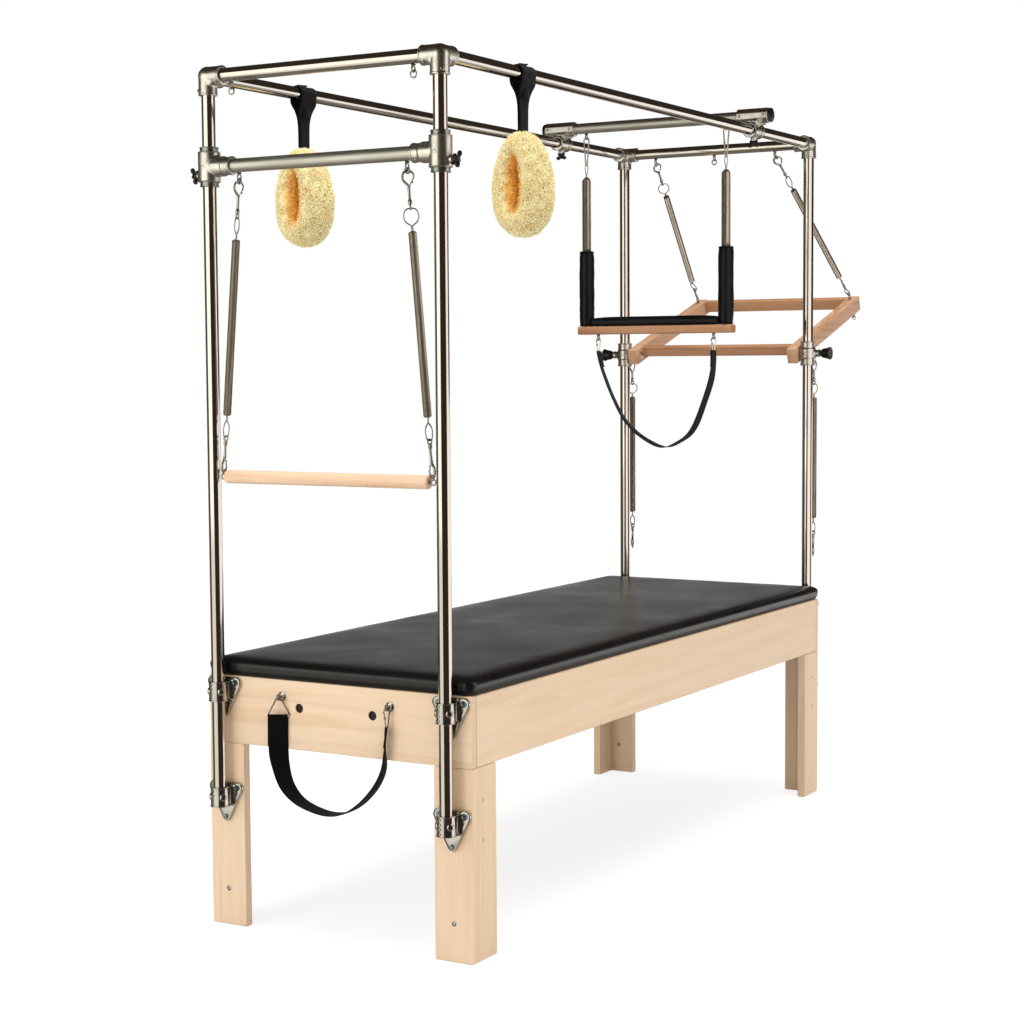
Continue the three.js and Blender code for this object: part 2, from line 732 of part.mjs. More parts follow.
function buildTrapeze() {
  piece('trapeze_cross_tube', eyedTube(crossHalf, [-trapezeEyeY, trapezeEyeY]), satinMetal,
    carriageX, 0, crossHeight);
  for (const { side, acrossY } of sides) {
    piece(`trapeze_saddle_${side}`, saddle(), castMetal, carriageX, acrossY * postY, canopyHeight);
    const knob = piece(`trapeze_knob_${side}`, crossKnob(), blackPlastic,
      carriageX, acrossY * postY, canopyHeight - saddleBossReach - gap);
    knob.rotation.z = Math.PI / 2 - knobTilt;
    const hangZ = trapezeEyeZ - hang;
    const drop = hangZ - seatBoardTop - gap;
    const shape = spring(trapezeSpringRadius, drop, trapezeHook, trapezeLoop, { shank: true });
    piece(`trapeze_spring_${side}`, shape, springSteel, carriageX, acrossY * trapezeEyeY, hangZ);
  }
  piece('trapeze_pad', seatPad(), blackVinyl, carriageX, 0, seatBoardTop + gap);
  const seatEye = at(eyeBolt(eyeDrop + eyeBite), 0, 0, -eyeDrop);
  const seatBoard = join(at(board(seatBoardWide, seatBoardHalf * 2, seatBoardThick),
    0, 0, seatBoardThick / 2), ...sides.map(({ acrossY }) => at(seatEye, 0, acrossY * strapEyeY, 0)));
  piece('trapeze_board', seatBoard, tanWood, carriageX, 0, seatBoardFoot);
  buildTrapezeStrap();
}

// Two upright sleeves round the springs and a seat between them
function seatPad() {
  const sleeveEnd = sleeveTall - gap;
  const halfWide = seatPadWide / 2;
  const round = halfWide - seatPadRound;
  const shape = new THREE.Shape([
    new THREE.Vector2(-halfWide, 0), new THREE.Vector2(halfWide, 0),
    new THREE.Vector2(halfWide, seatPadTall - seatPadRound), new THREE.Vector2(round, seatPadTall),
    new THREE.Vector2(-round, seatPadTall), new THREE.Vector2(-halfWide, seatPadTall - seatPadRound),
  ]);
  const seat = new THREE.ExtrudeGeometry(shape, { depth: trapezeEyeY * 2, bevelEnabled: false })
    .translate(0, 0, -trapezeEyeY).rotateX(Math.PI / 2);
  const sleeves = (radius, from, to) => sides.map(({ acrossY }) => at(
    barSpan(radius, from, to, 'z'), 0, acrossY * trapezeEyeY, 0));
  return cut(join(seat, ...sleeves(sleeveRadius, 0, sleeveEnd)),
    ...sleeves(trapezeSpringRadius + sleeveGap, -overrun, sleeveEnd + overrun));
}

// Flat webbing through stations; each has a point, a width and a turn about the way it runs
function webbing(stations) {
  const points = stations.map(({ y, z }) => inYZ(y, z));
  const rings = stations.map(({ wide = webWide, turnShare = 0 }, i) => {
    const before = points[Math.max(i - 1, 0)];
    const after = points[Math.min(i + 1, points.length - 1)];
    const along = after.clone().sub(before).normalize();
    const lengthwise = new THREE.Vector3(1, 0, 0);
    const outward = new THREE.Vector3().crossVectors(along, lengthwise);
    const turn = turnShare * (Math.PI / 2);
    const width = lengthwise.clone().multiplyScalar(Math.cos(turn))
      .addScaledVector(outward, Math.sin(turn));
    const depth = new THREE.Vector3().crossVectors(along, width);
    return [[-1, -1], [1, -1], [1, 1], [-1, 1]].map(([a, b]) => points[i].clone()
      .addScaledVector(width, (a * wide) / 2)
      .addScaledVector(depth, (b * webThick) / 2));
  });
  return skin(rings);
}

function buildTrapezeStrap() {
  const half = trapezeStrapShares.map(({ acrossShare, dropShare }) => ({
    y: acrossShare * strapEyeY, z: -strapLink - dropShare * strapDrop,
  }));
  const mirrored = half.slice(1).map(({ y, z }) => ({ y: -y, z })).reverse();
  const links = sides.map(({ acrossY }) => at(link(strapLink), 0, acrossY * strapEyeY, 0));
  const sewn = sides.map(({ acrossY }) => at(block(webWide, webWrap, webWrap),
    0, acrossY * strapEyeY, -strapLink));
  piece('trapeze_strap', join(webbing([...mirrored, ...half]), ...links, ...sewn), blackWeb,
    carriageX, 0, seatBoardFoot - eyeDrop - hang);
}

// The collar that carries the push-through bar; outward is the sign of the knob's side
function pushCollar(outward) {
  const eyeZ = -legEyeDrop;
  const armOuter = armOutset - gap;
  const armInner = armOutset + armThick + gap;
  const inwardSpan = (radius, from, to, facets) => barSpan(radius, -outward * from, -outward * to,
    'y', facets);
  const body = join(bar(collarRadius + gap, pushCollarTall, 'z'),
    bar(pushBandRadius, pushBandTall, 'z'),
    barSpan(pushNeckRadius, 0, outward * pushNeckReach, 'y', curlSteps),
    inwardSpan(pivotWasherRadius, tubeRadius, armOuter, tubeSides),
    inwardSpan(pivotPinRadius, tubeRadius, armInner + overrun, tubeSides),
    inwardSpan(pivotHeadRadius, armInner, armInner + pivotHeadThick, boltSides),
    at(eyeRing(), legEyeReach, 0, eyeZ),
    at(barSpan(eyeWire, tubeRadius, legEyeReach - eyeFlat, 'x', boltSides), 0, 0, eyeZ));
  return cut(body, bar(tubeRadius + gap, pushCollarTall + overrun * 2, 'z'),
    barSpan(plungerPin + slideGap, outward * tubeRadius, outward * (pushNeckReach + overrun), 'y',
      curlSteps));
}

// The pull knob: its pin runs inward from the origin on the post's axis
function plunger(outward) {
  const profile = [
    [0, plungerStart], [plungerNeck, plungerStart], [plungerWaist, plungerStart + plungerNeck],
    [plungerWaist, plungerStart + plungerLong * 3 / 4], [plungerFace, plungerStart + plungerLong],
    [0, plungerStart + plungerLong],
  ].map(([radius, reach]) => new THREE.Vector2(radius, reach));
  const knob = mergeVertices(new THREE.LatheGeometry(profile, tubeSides).deleteAttribute('uv')
    .deleteAttribute('normal'), weld);
  const pin = barSpan(plungerPin, tubeRadius + gap * 2, plungerStart + overrun, 'y', curlSteps);
  const whole = join(knob, pin);
  return outward < 0 ? whole.rotateZ(Math.PI) : whole;
}

const armTopEye = armReach - topEyeInset;

// Arms and outer rail, origin on the pivot, running along +X before they are tilted
function pushFrame() {
  const armY = postY - armOutset - armThick / 2;
  const innerY = postY - armOutset - armThick;
  const arm = board(armReach + armHeel, armThick, armTall);
  const arms = sides.map(({ acrossY }) => at(arm, (armReach - armHeel) / 2, acrossY * armY, 0));
  const rail = at(block(outerRailDeep, (innerY + edgeRound * 2) * 2, outerRailTall),
    armReach - outerRailDeep / 2 - edgeRound, 0, (armTall - outerRailTall) / 2 - edgeRound);
  const topEye = at(eyeBolt(eyeDrop + eyeBite).rotateX(Math.PI), armTopEye, 0, armTall / 2 + eyeDrop);
  const lowEye = at(eyeBolt(eyeDrop + eyeBite), armReach - lowEyeInset, 0, -armTall / 2 - eyeDrop);
  const eyes = sides.flatMap(({ acrossY }) => [topEye, lowEye].map(
    (eye) => at(eye, 0, acrossY * armY, 0)));
  return cut(join(...arms, rail, ...eyes), bar(pivotPinRadius + slideGap, postY * 2, 'y'));
}

function buildPushBar() {
  const frame = piece('push_bar_frame', pushFrame(), tanWood, postX, 0, pushPivotHeight);
  frame.rotation.y = -armAngle;
  const innerY = postY - armOutset - armThick - gap;
  const rail = board(pivotRailDeep, innerY * 2, pivotRailTall)
    .translate(pivotRailAlong, 0, pivotRailUp);
  piece('push_bar_pivot_rail', rail, tanWood, postX, 0, pushPivotHeight).rotation.y = -armAngle;
  const armY = postY - armOutset - armThick / 2;
  const down = new THREE.Vector3(0, 0, -1);
  for (const { side, acrossY } of sides) {
    const place = [postX, acrossY * postY, pushPivotHeight];
    piece(`push_collar_${side}`, pushCollar(acrossY), castMetal, ...place);
    piece(`push_plunger_${side}`, plunger(acrossY), blackPlastic, ...place);
    const upper = new THREE.Vector3(postX, acrossY * pushEyeY, canopyHeight - eyeBelowTube);
    const lower = new THREE.Vector3(armTopEye, 0, armTall / 2 + eyeDrop)
      .applyAxisAngle(new THREE.Vector3(0, 1, 0), -armAngle)
      .add(new THREE.Vector3(postX, acrossY * armY, pushPivotHeight));
    const run = lower.clone().sub(upper);
    const start = pulled(upper, run);
    const stop = pulled(lower, run.clone().negate());
    const shape = spring(pushSpringRadius, start.distanceTo(stop), pushHook, pushLoop);
    piece(`push_spring_${side}`, hungAlong(shape, run), springSteel, ...start);
    const legEye = new THREE.Vector3(postX + legEyeReach, acrossY * postY,
      pushPivotHeight - legEyeDrop);
    piece(`leg_spring_${side}`, spring(legSpringRadius, legSpringDrop, legHook, legLoop), springSteel,
      ...pulled(legEye, down));
  }
}

// A foot loop: origin on the long tube's axis
function footLoop() {
  const ring = tubeRadius + slideGap + wrapThick;
  const shape = new THREE.Shape();
  const tangent = Math.asin(strapHalfThick / ring);
  shape.moveTo(-strapHalfThick, -strapReach);
  shape.lineTo(strapHalfThick, -strapReach);
  shape.lineTo(strapHalfThick, -strapWaist);
  shape.absarc(0, 0, ring, tangent - Math.PI / 3, Math.PI * 4 / 3 - tangent);
  shape.lineTo(-strapHalfThick, -strapWaist);
  const strap = new THREE.ExtrudeGeometry(shape, {
    depth: wrapWide, bevelEnabled: false, curveSegments: tubeSides,
  }).translate(0, 0, -wrapWide / 2).applyMatrix4(new THREE.Matrix4().makeBasis(
    new THREE.Vector3(0, 1, 0), new THREE.Vector3(0, 0, 1), new THREE.Vector3(1, 0, 0)));
  const { position } = strap.attributes;
  for (let i = 0; i < position.count; i += 1) {
    const slope = THREE.MathUtils.clamp((-position.getZ(i) - wrapShoulder) / (strapWaist - wrapShoulder),
      0, 1);
    const wide = THREE.MathUtils.lerp(wrapWide, strapWide, slope);
    position.setX(i, (position.getX(i) * wide) / wrapWide);
  }
  const wrapped = cut(strap, bar(tubeRadius + slideGap, wrapWide + overrun * 2, 'x'));
  return join(wrapped, at(fleeceBody(), 0, 0, -fleeceTop - fleeceHalfTall));
}

// A thick egg-shaped band of fleece round a slit that runs along X
function fleeceBody() {
  const rings = Array.from({ length: fleeceSteps }, (_, i) => {
    const turn = (i / fleeceSteps) * Math.PI * 2;
    const up = Math.sin(turn);
    const egg = 1 - fleeceEggShare * up;
    const outer = inYZ(fleeceHalfDeep * egg * Math.cos(turn), fleeceHalfTall * up);
    const inner = inYZ(slitHalfDeep * Math.cos(turn), slitHalfTall * up);
    const middle = outer.clone().add(inner).divideScalar(2);
    const half = outer.sub(middle);
    return Array.from({ length: fleeceSides }, (_unused, j) => {
      const round = (j / fleeceSides) * Math.PI * 2;
      return middle.clone().addScaledVector(half, Math.cos(round))
        .add(new THREE.Vector3(fleeceHalfWide * Math.sin(round), 0, 0));
    });
  });
  return skin(rings, true);
}

function buildFootLoops() {
  piece('foot_loop_near', footLoop(), fleece, nearLoopInset - postX, -postY, canopyHeight);
  piece('foot_loop_far', footLoop(), fleece, farLoopInset - postX, postY, canopyHeight);
}

function buildEndStrap() {
  const stations = endStrapShares.map(({ acrossShare, dropShare, wideShare, turnShare }) => ({
    y: acrossShare * endEyeY, z: -dropShare * endStrapDrop, wide: wideShare * webWide, turnShare,
  }));
  const triangle = at(link(triangleTall, triangleTop, triangleBottom), 0, endEyeY, 0);
  const clip = at(link(endClip), 0, -endEyeY, 0);
  const first = stations[0];
  const last = stations[stations.length - 1];
  const lap = (station, linkLength) => at(block(station.turnShare === 1 ? webWrap : station.wide,
    station.turnShare === 1 ? station.wide - webWrap : webWrap, webWrap), 0, station.y, -linkLength);
  const strap = join(webbing(stations), triangle, clip, lap(first, triangleTall), lap(last, endClip));
  piece('end_strap', strap, blackWeb, -faceX - endEyeReach, 0, railTop - endEyeDrop - hang);
}

buildBed();
buildCanopy();
buildSlideBar();
buildRollDown();
buildTrapeze();
buildPushBar();
buildFootLoops();
buildEndStrap();

// Centre the table over the origin, standing on it
const bounds = new THREE.Box3().setFromObject(content);
const centre = bounds.getCenter(new THREE.Vector3());
content.position.set(-centre.x, -centre.y, -bounds.min.z);

export default table;
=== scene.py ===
import random
from math import atan2, ceil, cos, degrees, exp, hypot, pi, radians, sin
import bpy
import bmesh
from mathutils import Matrix, Vector, noise


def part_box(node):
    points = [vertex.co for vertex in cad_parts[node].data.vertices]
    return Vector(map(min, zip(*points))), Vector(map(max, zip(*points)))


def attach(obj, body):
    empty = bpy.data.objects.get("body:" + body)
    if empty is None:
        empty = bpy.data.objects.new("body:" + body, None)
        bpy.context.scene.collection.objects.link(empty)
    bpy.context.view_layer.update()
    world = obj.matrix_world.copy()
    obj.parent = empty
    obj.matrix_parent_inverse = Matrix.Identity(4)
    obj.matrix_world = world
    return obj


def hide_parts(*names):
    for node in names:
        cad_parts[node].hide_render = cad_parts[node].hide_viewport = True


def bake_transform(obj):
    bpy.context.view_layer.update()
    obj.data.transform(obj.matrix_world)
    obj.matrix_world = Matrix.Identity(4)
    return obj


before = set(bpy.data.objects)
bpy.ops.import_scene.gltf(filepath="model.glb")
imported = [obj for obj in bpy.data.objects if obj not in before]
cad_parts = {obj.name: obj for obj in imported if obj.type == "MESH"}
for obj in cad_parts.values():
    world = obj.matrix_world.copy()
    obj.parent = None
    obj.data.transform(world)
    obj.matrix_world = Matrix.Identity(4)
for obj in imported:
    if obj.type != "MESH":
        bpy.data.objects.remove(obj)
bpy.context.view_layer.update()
print("frame loaded")

# Pieces are drawn in millimetres from the middle of the bed, on the floor, and stored in metres
matLow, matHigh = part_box("mat")
bedMiddle = (matLow.x + matHigh.x) / 2

# Sizes are in millimetres, heights and tops are over the floor, and turns are in degrees
bed = dict(length=2220, width=785, railTop=648, railHeight=174, boardThick=24)
canopy = dict(postX=1140, postY=340, height=2150, tubeRadius=17, tubeWall=2.5, tubeEnd=20,
              collarRadius=23.5, elbowReach=48, slideHeight=1927)
bore = dict(grip=17.3, elbow=17.4, slide=17.8, liner=17.9)  # radii: fixed on a tube, or free on one
eye = dict(radius=7, wire=2.2, drop=12, hang=1.967)  # hang: how far under its middle a ring rests
eyeBelowTube = canopy["tubeRadius"] + eye["drop"]
up = Vector((0, 0, 1))
down = Vector((0, 0, -1))
# Each corner's names and its direction along X and Y
corners = [(end, side, -1 if end == "head" else 1, -1 if side == "near" else 1)
           for end in ("head", "foot") for side in ("near", "far")]
sides = [("near", -1), ("far", 1)]


def toRow(point):
    return Vector((point[0] / 1000 + bedMiddle, point[1] / 1000, point[2] / 1000))


# Camera, floor and light

view = dict(place=(-5.37186, -2.8267, 1.4365), heading=30.18, down=4.277, roll=-0.362, lens=70.07)
studio = dict(worldLevel=0.63, floorGlow=0.6, floorTone=0.9)
lamps = [dict(name="overhead", place=(-0.9, -0.7, 5.5), aim=(0, 0, 0.6), size=5, power=215),
         dict(name="left", place=(-5.5, 1.5, 2.6), aim=(-0.5, 0, 1), size=3, power=66),
         dict(name="right", place=(-2.0, -5.5, 2.6), aim=(0, 0, 0.9), size=3, power=12)]


def makeCamera():
    heading, tip, roll = (radians(view[k]) for k in ("heading", "down", "roll"))
    forward = Vector((cos(heading) * cos(tip), sin(heading) * cos(tip), -sin(tip)))
    level = Vector((sin(heading), -cos(heading), 0))
    above = level.cross(forward)
    right = level * cos(roll) + above * sin(roll)
    top = right.cross(forward)
    lens = bpy.data.cameras.new("photoCamera")
    lens.lens = view["lens"]
    camera = bpy.data.objects.new("photoCamera", lens)
    turn = Matrix((right, top, -forward)).transposed().to_4x4()
    camera.matrix_world = Matrix.Translation(view["place"]) @ turn
    bpy.context.collection.objects.link(camera)
    bpy.context.scene.camera = camera


def makeLamp(name, place, aim, size, power):
    light = bpy.data.lights.new(name, "AREA")
    light.shape, light.size, light.energy = "DISK", size, power
    lamp = bpy.data.objects.new(name, light)
    lamp.location = place
    lamp.rotation_euler = (Vector(aim) - Vector(place)).to_track_quat("-Z", "Y").to_euler()
    lamp.visible_glossy = False
    bpy.context.collection.objects.link(lamp)


# Adds a node; each socket takes a value or another node's output
def addNode(tree, kind, sockets=(), **settings):
    made = tree.nodes.new("ShaderNode" + kind)
    for key, value in settings.items():
        setattr(made, key, value)
    for key, value in dict(sockets).items():
        if hasattr(value, "is_linked"):
            tree.links.new(value, made.inputs[key])
        else:
            made.inputs[key].default_value = value
    return made


def combined(tree, operation, first, second):
    return addNode(tree, "Math", {0: first, 1: second}, operation=operation).outputs[0]


# One where the camera, a mirror or glass looks, and nought for the light itself
def seenByCamera(tree):
    path = addNode(tree, "LightPath").outputs
    seen = combined(tree, "MAXIMUM", path["Is Camera Ray"], path["Is Glossy Ray"])
    return combined(tree, "MAXIMUM", seen, path["Is Transmission Ray"])


def makeStudio():
    world = bpy.data.worlds.new("studio")
    bpy.context.scene.world = world
    world.use_nodes = True
    tree = world.node_tree
    tree.nodes.clear()
    plain, white = (addNode(tree, "Background", {"Color": (1, 1, 1, 1), "Strength": level}).outputs[0]
                    for level in (studio["worldLevel"], 1))
    mix = addNode(tree, "MixShader", {0: seenByCamera(tree), 1: plain, 2: white})
    addNode(tree, "OutputWorld", {0: mix.outputs[0]})

    for lamp in lamps:
        makeLamp(**lamp)
    bpy.context.scene.view_settings.view_transform = "Standard"


makeCamera()
makeStudio()
print("camera and light ready")

# Finishes

# An sRGB colour, 0 to 255, as the renderer's linear one
def tone(red, green, blue):
    return tuple((c / 255 / 12.92) if c <= 10.3 else ((c / 255 + 0.055) / 1.055) ** 2.4
                 for c in (red, green, blue)) + (1,)


def startFinish(name, colour, roughness, metallic=0.0, **sockets):
    finish = bpy.data.materials.new(name)
    finish.use_nodes = True
    tree = finish.node_tree
    shader = tree.nodes["Principled BSDF"]
    shader.inputs["Base Color"].default_value = colour
    shader.inputs["Roughness"].default_value = roughness
    shader.inputs["Metallic"].default_value = metallic
    for key, value in sockets.items():
        shader.inputs[key.replace("_", " ")].default_value = value
    return finish, tree, shader


# Coordinates of the piece, stretched by a scale along each axis
def stretched(tree, scale, source="Object"):
    place = addNode(tree, "TexCoord").outputs[source]
    return addNode(tree, "Mapping", {"Vector": place, "Scale": scale}).outputs[0]


# Noise on the piece; scale is a number or one for each axis
def speckle(tree, scale, detail=2.0, distortion=0.0):
    scale = scale if hasattr(scale, "__len__") else (scale,) * 3
    return addNode(tree, "TexNoise", {"Scale": 1, "Detail": detail, "Distortion": distortion,
                                      "Vector": stretched(tree, scale)}).outputs["Fac"]


# Colours against a value: stops is a list of (value, colour)
def ramp(tree, source, stops):
    made = addNode(tree, "ValToRGB", {0: source})
    marks = made.color_ramp.elements
    while len(marks) < len(stops):
        marks.new(0.5)
    for mark, (position, colour) in zip(marks, stops):
        mark.position, mark.color = position, colour
    return made.outputs[0]


def spread(tree, source, low, high, fromLow=0.3, fromHigh=0.7):
    return addNode(tree, "MapRange", {"Value": source, "From Min": fromLow, "From Max": fromHigh,
                                      "To Min": low, "To Max": high}).outputs[0]


def blended(tree, share, first, second):
    return addNode(tree, "Mix", {0: share, 6: first, 7: second}, data_type="RGBA").outputs[2]


def shaded(colour, share):
    return [c * share for c in colour[:3]] + [1]


# Sets what the finish shows: its colour, its roughness where that varies, and its relief
def dress(tree, shader, colour, roughness, relief, strength, depth=0.0002):
    tree.links.new(colour, shader.inputs["Base Color"])
    if roughness:
        tree.links.new(roughness, shader.inputs["Roughness"])
    bump = addNode(tree, "Bump", {"Strength": strength, "Distance": depth, "Height": relief})
    tree.links.new(bump.outputs[0], shader.inputs["Normal"])


# Lacquered wood with its grain along one axis, darker pores and darker end grain
def woodFinish(name, pale, deep, axis, roughness=0.45, coat=0.12, figure=0.35):
    finish, tree, shader = startFinish(name, pale, roughness, Coat_Weight=coat, Coat_Roughness=0.25,
                                       Specular_IOR_Level=0.35)

    def drawnOut(across, lengthwise):
        return [lengthwise if a == axis else across for a in "XYZ"]

    grain = speckle(tree, drawnOut(34, 1.6), 5, 0.6)
    bands = ramp(tree, grain, [(0.34, deep), (0.5, pale), (0.68, shaded(pale, 1.03))])
    cloud = speckle(tree, drawnOut(3, 0.8))
    toned = blended(tree, spread(tree, cloud, 0, figure), bands, deep)
    pores = speckle(tree, drawnOut(420, 9))
    fine = blended(tree, spread(tree, pores, 0.22, 0, 0.36, 0.5), toned, shaded(deep, 0.82))
    normal = addNode(tree, "NewGeometry").outputs["True Normal"]
    apart = addNode(tree, "SeparateXYZ", {0: normal}).outputs["XYZ".index(axis)]
    level = addNode(tree, "Math", {0: apart}, operation="ABSOLUTE").outputs[0]
    endGrain = spread(tree, level, 0, 0.55, 0.93, 0.99)
    dress(tree, shader, blended(tree, endGrain, fine, shaded(deep, 0.9)),
          spread(tree, grain, roughness - 0.06, roughness + 0.1), pores, 0.12)
    return finish


def metalFinish(name, colour, roughness, wear, streak, bump, grain=900.0):
    finish, tree, shader = startFinish(name, colour, roughness, 1)
    smear = speckle(tree, streak, 4)
    dress(tree, shader, blended(tree, spread(tree, smear, 0, 0.7), colour, shaded(colour, 0.86)),
          spread(tree, smear, max(roughness - wear, 0.02), roughness + wear), speckle(tree, grain), bump)
    return finish


def vinylFinish(name, shine):
    finish, tree, shader = startFinish(name, tone(15, 15, 16), 0.3, Specular_IOR_Level=shine)
    broad = speckle(tree, 5)
    dress(tree, shader, ramp(tree, broad, [(0.3, tone(12, 12, 13)), (0.7, tone(17, 17, 18))]),
          spread(tree, broad, 0.26, 0.33), speckle(tree, 540, 2, 0.4), 0.05)
    return finish


# Flat black webbing: chevron ribs across its width, on the strap's own coordinates in millimetres
def webFinish():
    finish, tree, shader = startFinish("blackWebbing", tone(14, 14, 15), 0.82, Sheen_Weight=0.08,
                                       Sheen_Roughness=0.5, Specular_IOR_Level=0.12)
    waves = [addNode(tree, "TexWave",
                     {"Scale": 1, "Distortion": bend, "Vector": stretched(tree, scale, "UV")},
                     bands_direction=run).outputs["Fac"]
             for run, bend, scale in (("X", 0.3, (0.22, 0, 0)), ("Y", 0, (0, 0.3, 0)))]
    weave = combined(tree, "MULTIPLY", *waves)
    worn = blended(tree, spread(tree, speckle(tree, 300), 0, 0.5), tone(7, 7, 8), tone(14, 14, 15))
    # Darker where the weave's relief is low: painted shade in its grooves
    dress(tree, shader, blended(tree, spread(tree, weave, 0, 0.6, 0, 1), tone(4, 4, 5), worn), None,
          weave, 0.5, 0.0005)
    return finish


# Cream outside, and amber in the slit as painted shade, by each point's share of that shade
def fleeceFinish():
    pale, deep = tone(255, 240, 186), tone(250, 222, 150)
    finish, tree, shader = startFinish("creamFleece", pale, 0.95, Sheen_Weight=0.4, Sheen_Roughness=0.6,
                                       Specular_IOR_Level=0.1)
    clumps = speckle(tree, 55, 5, 0.8)
    outside = ramp(tree, clumps, [(0.32, deep), (0.5, pale), (0.72, [min(c * 1.08, 1) for c in pale])])
    # The slit's amber colours are painted shade
    inside = ramp(tree, clumps, [(0.32, tone(246, 170, 50)), (0.62, tone(255, 202, 88))])
    slitShade = addNode(tree, "Attribute", attribute_name="slitShadeShare").outputs["Fac"]
    dress(tree, shader, blended(tree, slitShade, outside, inside), None, speckle(tree, 420, 4), 0.6, 0.0012)
    return finish


def plasticFinish(name, colour, roughness):
    finish, tree, shader = startFinish(name, colour, roughness)
    grain, cloud = speckle(tree, 500, 3), speckle(tree, 40, 3)
    dress(tree, shader, blended(tree, spread(tree, cloud, 0, 0.6), colour, shaded(colour, 0.7)),
          spread(tree, grain, roughness - 0.06, roughness + 0.08), grain, 0.1)
    return finish


maplePale, mapleDeep = tone(237, 209, 177), tone(229, 197, 159)
mapleLong = woodFinish("mapleAlongBed", maplePale, mapleDeep, "X")
mapleAcross = woodFinish("mapleAcrossBed", maplePale, mapleDeep, "Y")
mapleUp = woodFinish("mapleUpright", maplePale, mapleDeep, "Z")
maplePlug = woodFinish("maplePlug", tone(226, 190, 150), tone(206, 168, 126), "Y")
dowelWood = woodFinish("dowelWood", tone(240, 206, 174), tone(226, 184, 146), "Y", 0.42, 0.2)
tanPale, tanDeep = tone(190, 142, 104), tone(158, 108, 70)
tanAcross = woodFinish("tanWoodAcross", tanPale, tanDeep, "Y", 0.5, 0.1, 0.6)
# The arms' tan is lighter than the board's: partly their own tone, partly a painted highlight for the glare
# on their sides
tanArmsPaintedGlare = woodFinish("tanWoodArmsPaintedGlare", tone(214, 170, 136), tone(184, 134, 98), "X", 0.5, 0.1, 0.6)
polishedSteel = metalFinish("polishedSteel", tone(206, 202, 195), 0.09, 0.03, (6, 6, 1.5), 0.003)
satinAluminium = metalFinish("satinAluminium", tone(206, 207, 198), 0.48, 0.05, (8, 3, 8), 0.02)
castMetal = metalFinish("castMetal", tone(208, 208, 200), 0.34, 0.06, 40, 0.04, 420.0)
bushMetal = metalFinish("bushMetal", tone(152, 158, 152), 0.34, 0.05, 50, 0.05)
bracketMetal = metalFinish("bracketMetal", tone(196, 196, 190), 0.17, 0.06, 60, 0.06, 260.0)
boltMetal = metalFinish("boltMetal", tone(152, 168, 180), 0.22, 0.06, 80, 0.05)
wireMetal = metalFinish("wireMetal", tone(186, 184, 178), 0.2, 0.05, 60, 0.03)
springMetal = metalFinish("springMetal", tone(208, 200, 184), 0.32, 0.05, 12, 0.01)
brassWire = metalFinish("brassWire", tone(206, 180, 104), 0.25, 0.05, 40, 0.03)
matVinyl = vinylFinish("matVinyl", 0.42)
blackVinyl = vinylFinish("blackVinyl", 0.14)
blackWebbing = webFinish()
creamFleece = fleeceFinish()
blackPlastic = plasticFinish("blackPlastic", tone(14, 14, 15), 0.34)
darkHole = plasticFinish("darkPlug", tone(24, 18, 14), 0.6)

print("finishes ready")


# Shapes: each is a list of points and a list of faces, joined, moved and turned before it is a piece

def merged(*shapes):
    points, faces = [], []
    for shapePoints, shapeFaces in shapes:
        base = len(points)
        points += shapePoints
        faces += [tuple(i + base for i in face) for face in shapeFaces]
    return points, faces


def moved(shape, x=0.0, y=0.0, z=0.0):
    step = Vector((x, y, z))
    return [p + step for p in shape[0]], shape[1]


def turned(shape, matrix):
    return [matrix @ p for p in shape[0]], shape[1]


def spun(shape, turn, axis="Z"):
    return turned(shape, Matrix.Rotation(radians(turn), 3, axis))


# The same shape on the near side and on the far one
def onBothSides(shape, x, y, z):
    return merged(*[moved(shape, x, s * y, z) for _, s in sides])


# A shape drawn along +Z from the origin, set on a point and turned to a direction
def facing(shape, point, direction):
    turn = up.rotation_difference(Vector(direction)).to_matrix()
    return moved(turned(shape, turn), *point)


def along(axis, across, aside, height):
    return {"X": Vector((height, across, aside)), "Y": Vector((aside, height, across)),
            "Z": Vector((across, aside, height))}[axis]


# A turned profile of (radius, height) marks round an axis
def lathe(profile, axis, facets=40, closed=False):
    points, faces, rings = [], [], []
    for radius, height in profile:
        if radius < 1e-6:
            rings.append([len(points)])
            points.append(along(axis, 0, 0, height))
            continue
        rings.append(list(range(len(points), len(points) + facets)))
        points += [along(axis, radius * cos(turn), radius * sin(turn), height)
                   for turn in (2 * pi * i / facets for i in range(facets))]
    pairs = list(zip(rings, rings[1:])) + ([(rings[-1], rings[0])] if closed else [])
    for low, high in pairs:
        for i in range(facets):
            j = (i + 1) % facets
            if len(low) == 1 and len(high) > 1:
                faces.append((low[0], high[i], high[j]))
            elif len(high) == 1 and len(low) > 1:
                faces.append((low[i], high[0], low[j]))
            elif len(low) > 1:
                faces.append((low[i], low[j], high[j], high[i]))
    return points, faces


def rod(radius, start, end, axis, ease=1.0, facets=40):
    start, end = min(start, end), max(start, end)
    return lathe([(0, start), (radius - ease, start), (radius, start + ease), (radius, end - ease),
                  (radius - ease, end), (0, end)], axis, facets)


# A ring with a bore. On a long one, a ring of points near each end keeps the wall's shading straight
def band(outer, inner, start, end, axis, ease=1.0, facets=48):
    start, end = min(start, end), max(start, end)
    guards = [(outer, start + ease * 2), (outer, end - ease * 2)] if end - start > 100 else []
    return lathe([(inner, start), (outer - ease, start), (outer - ease * 0.3, start + ease * 0.3),
                  (outer, start + ease), *guards, (outer, end - ease),
                  (outer - ease * 0.3, end - ease * 0.3), (outer - ease, end), (inner, end)],
                 axis, facets, closed=True)


# The walls between rings of points, with a lid at each end or the last ring closed to the first
def ringWalls(count, around, closed=False):
    faces = []
    for i in range(count if closed else count - 1):
        here, there = i * around, (i + 1) % count * around
        faces += [(here + j, here + (j + 1) % around, there + (j + 1) % around, there + j)
                  for j in range(around)]
    if not closed:
        faces += [tuple(reversed(range(around))), tuple(range((count - 1) * around, count * around))]
    return faces


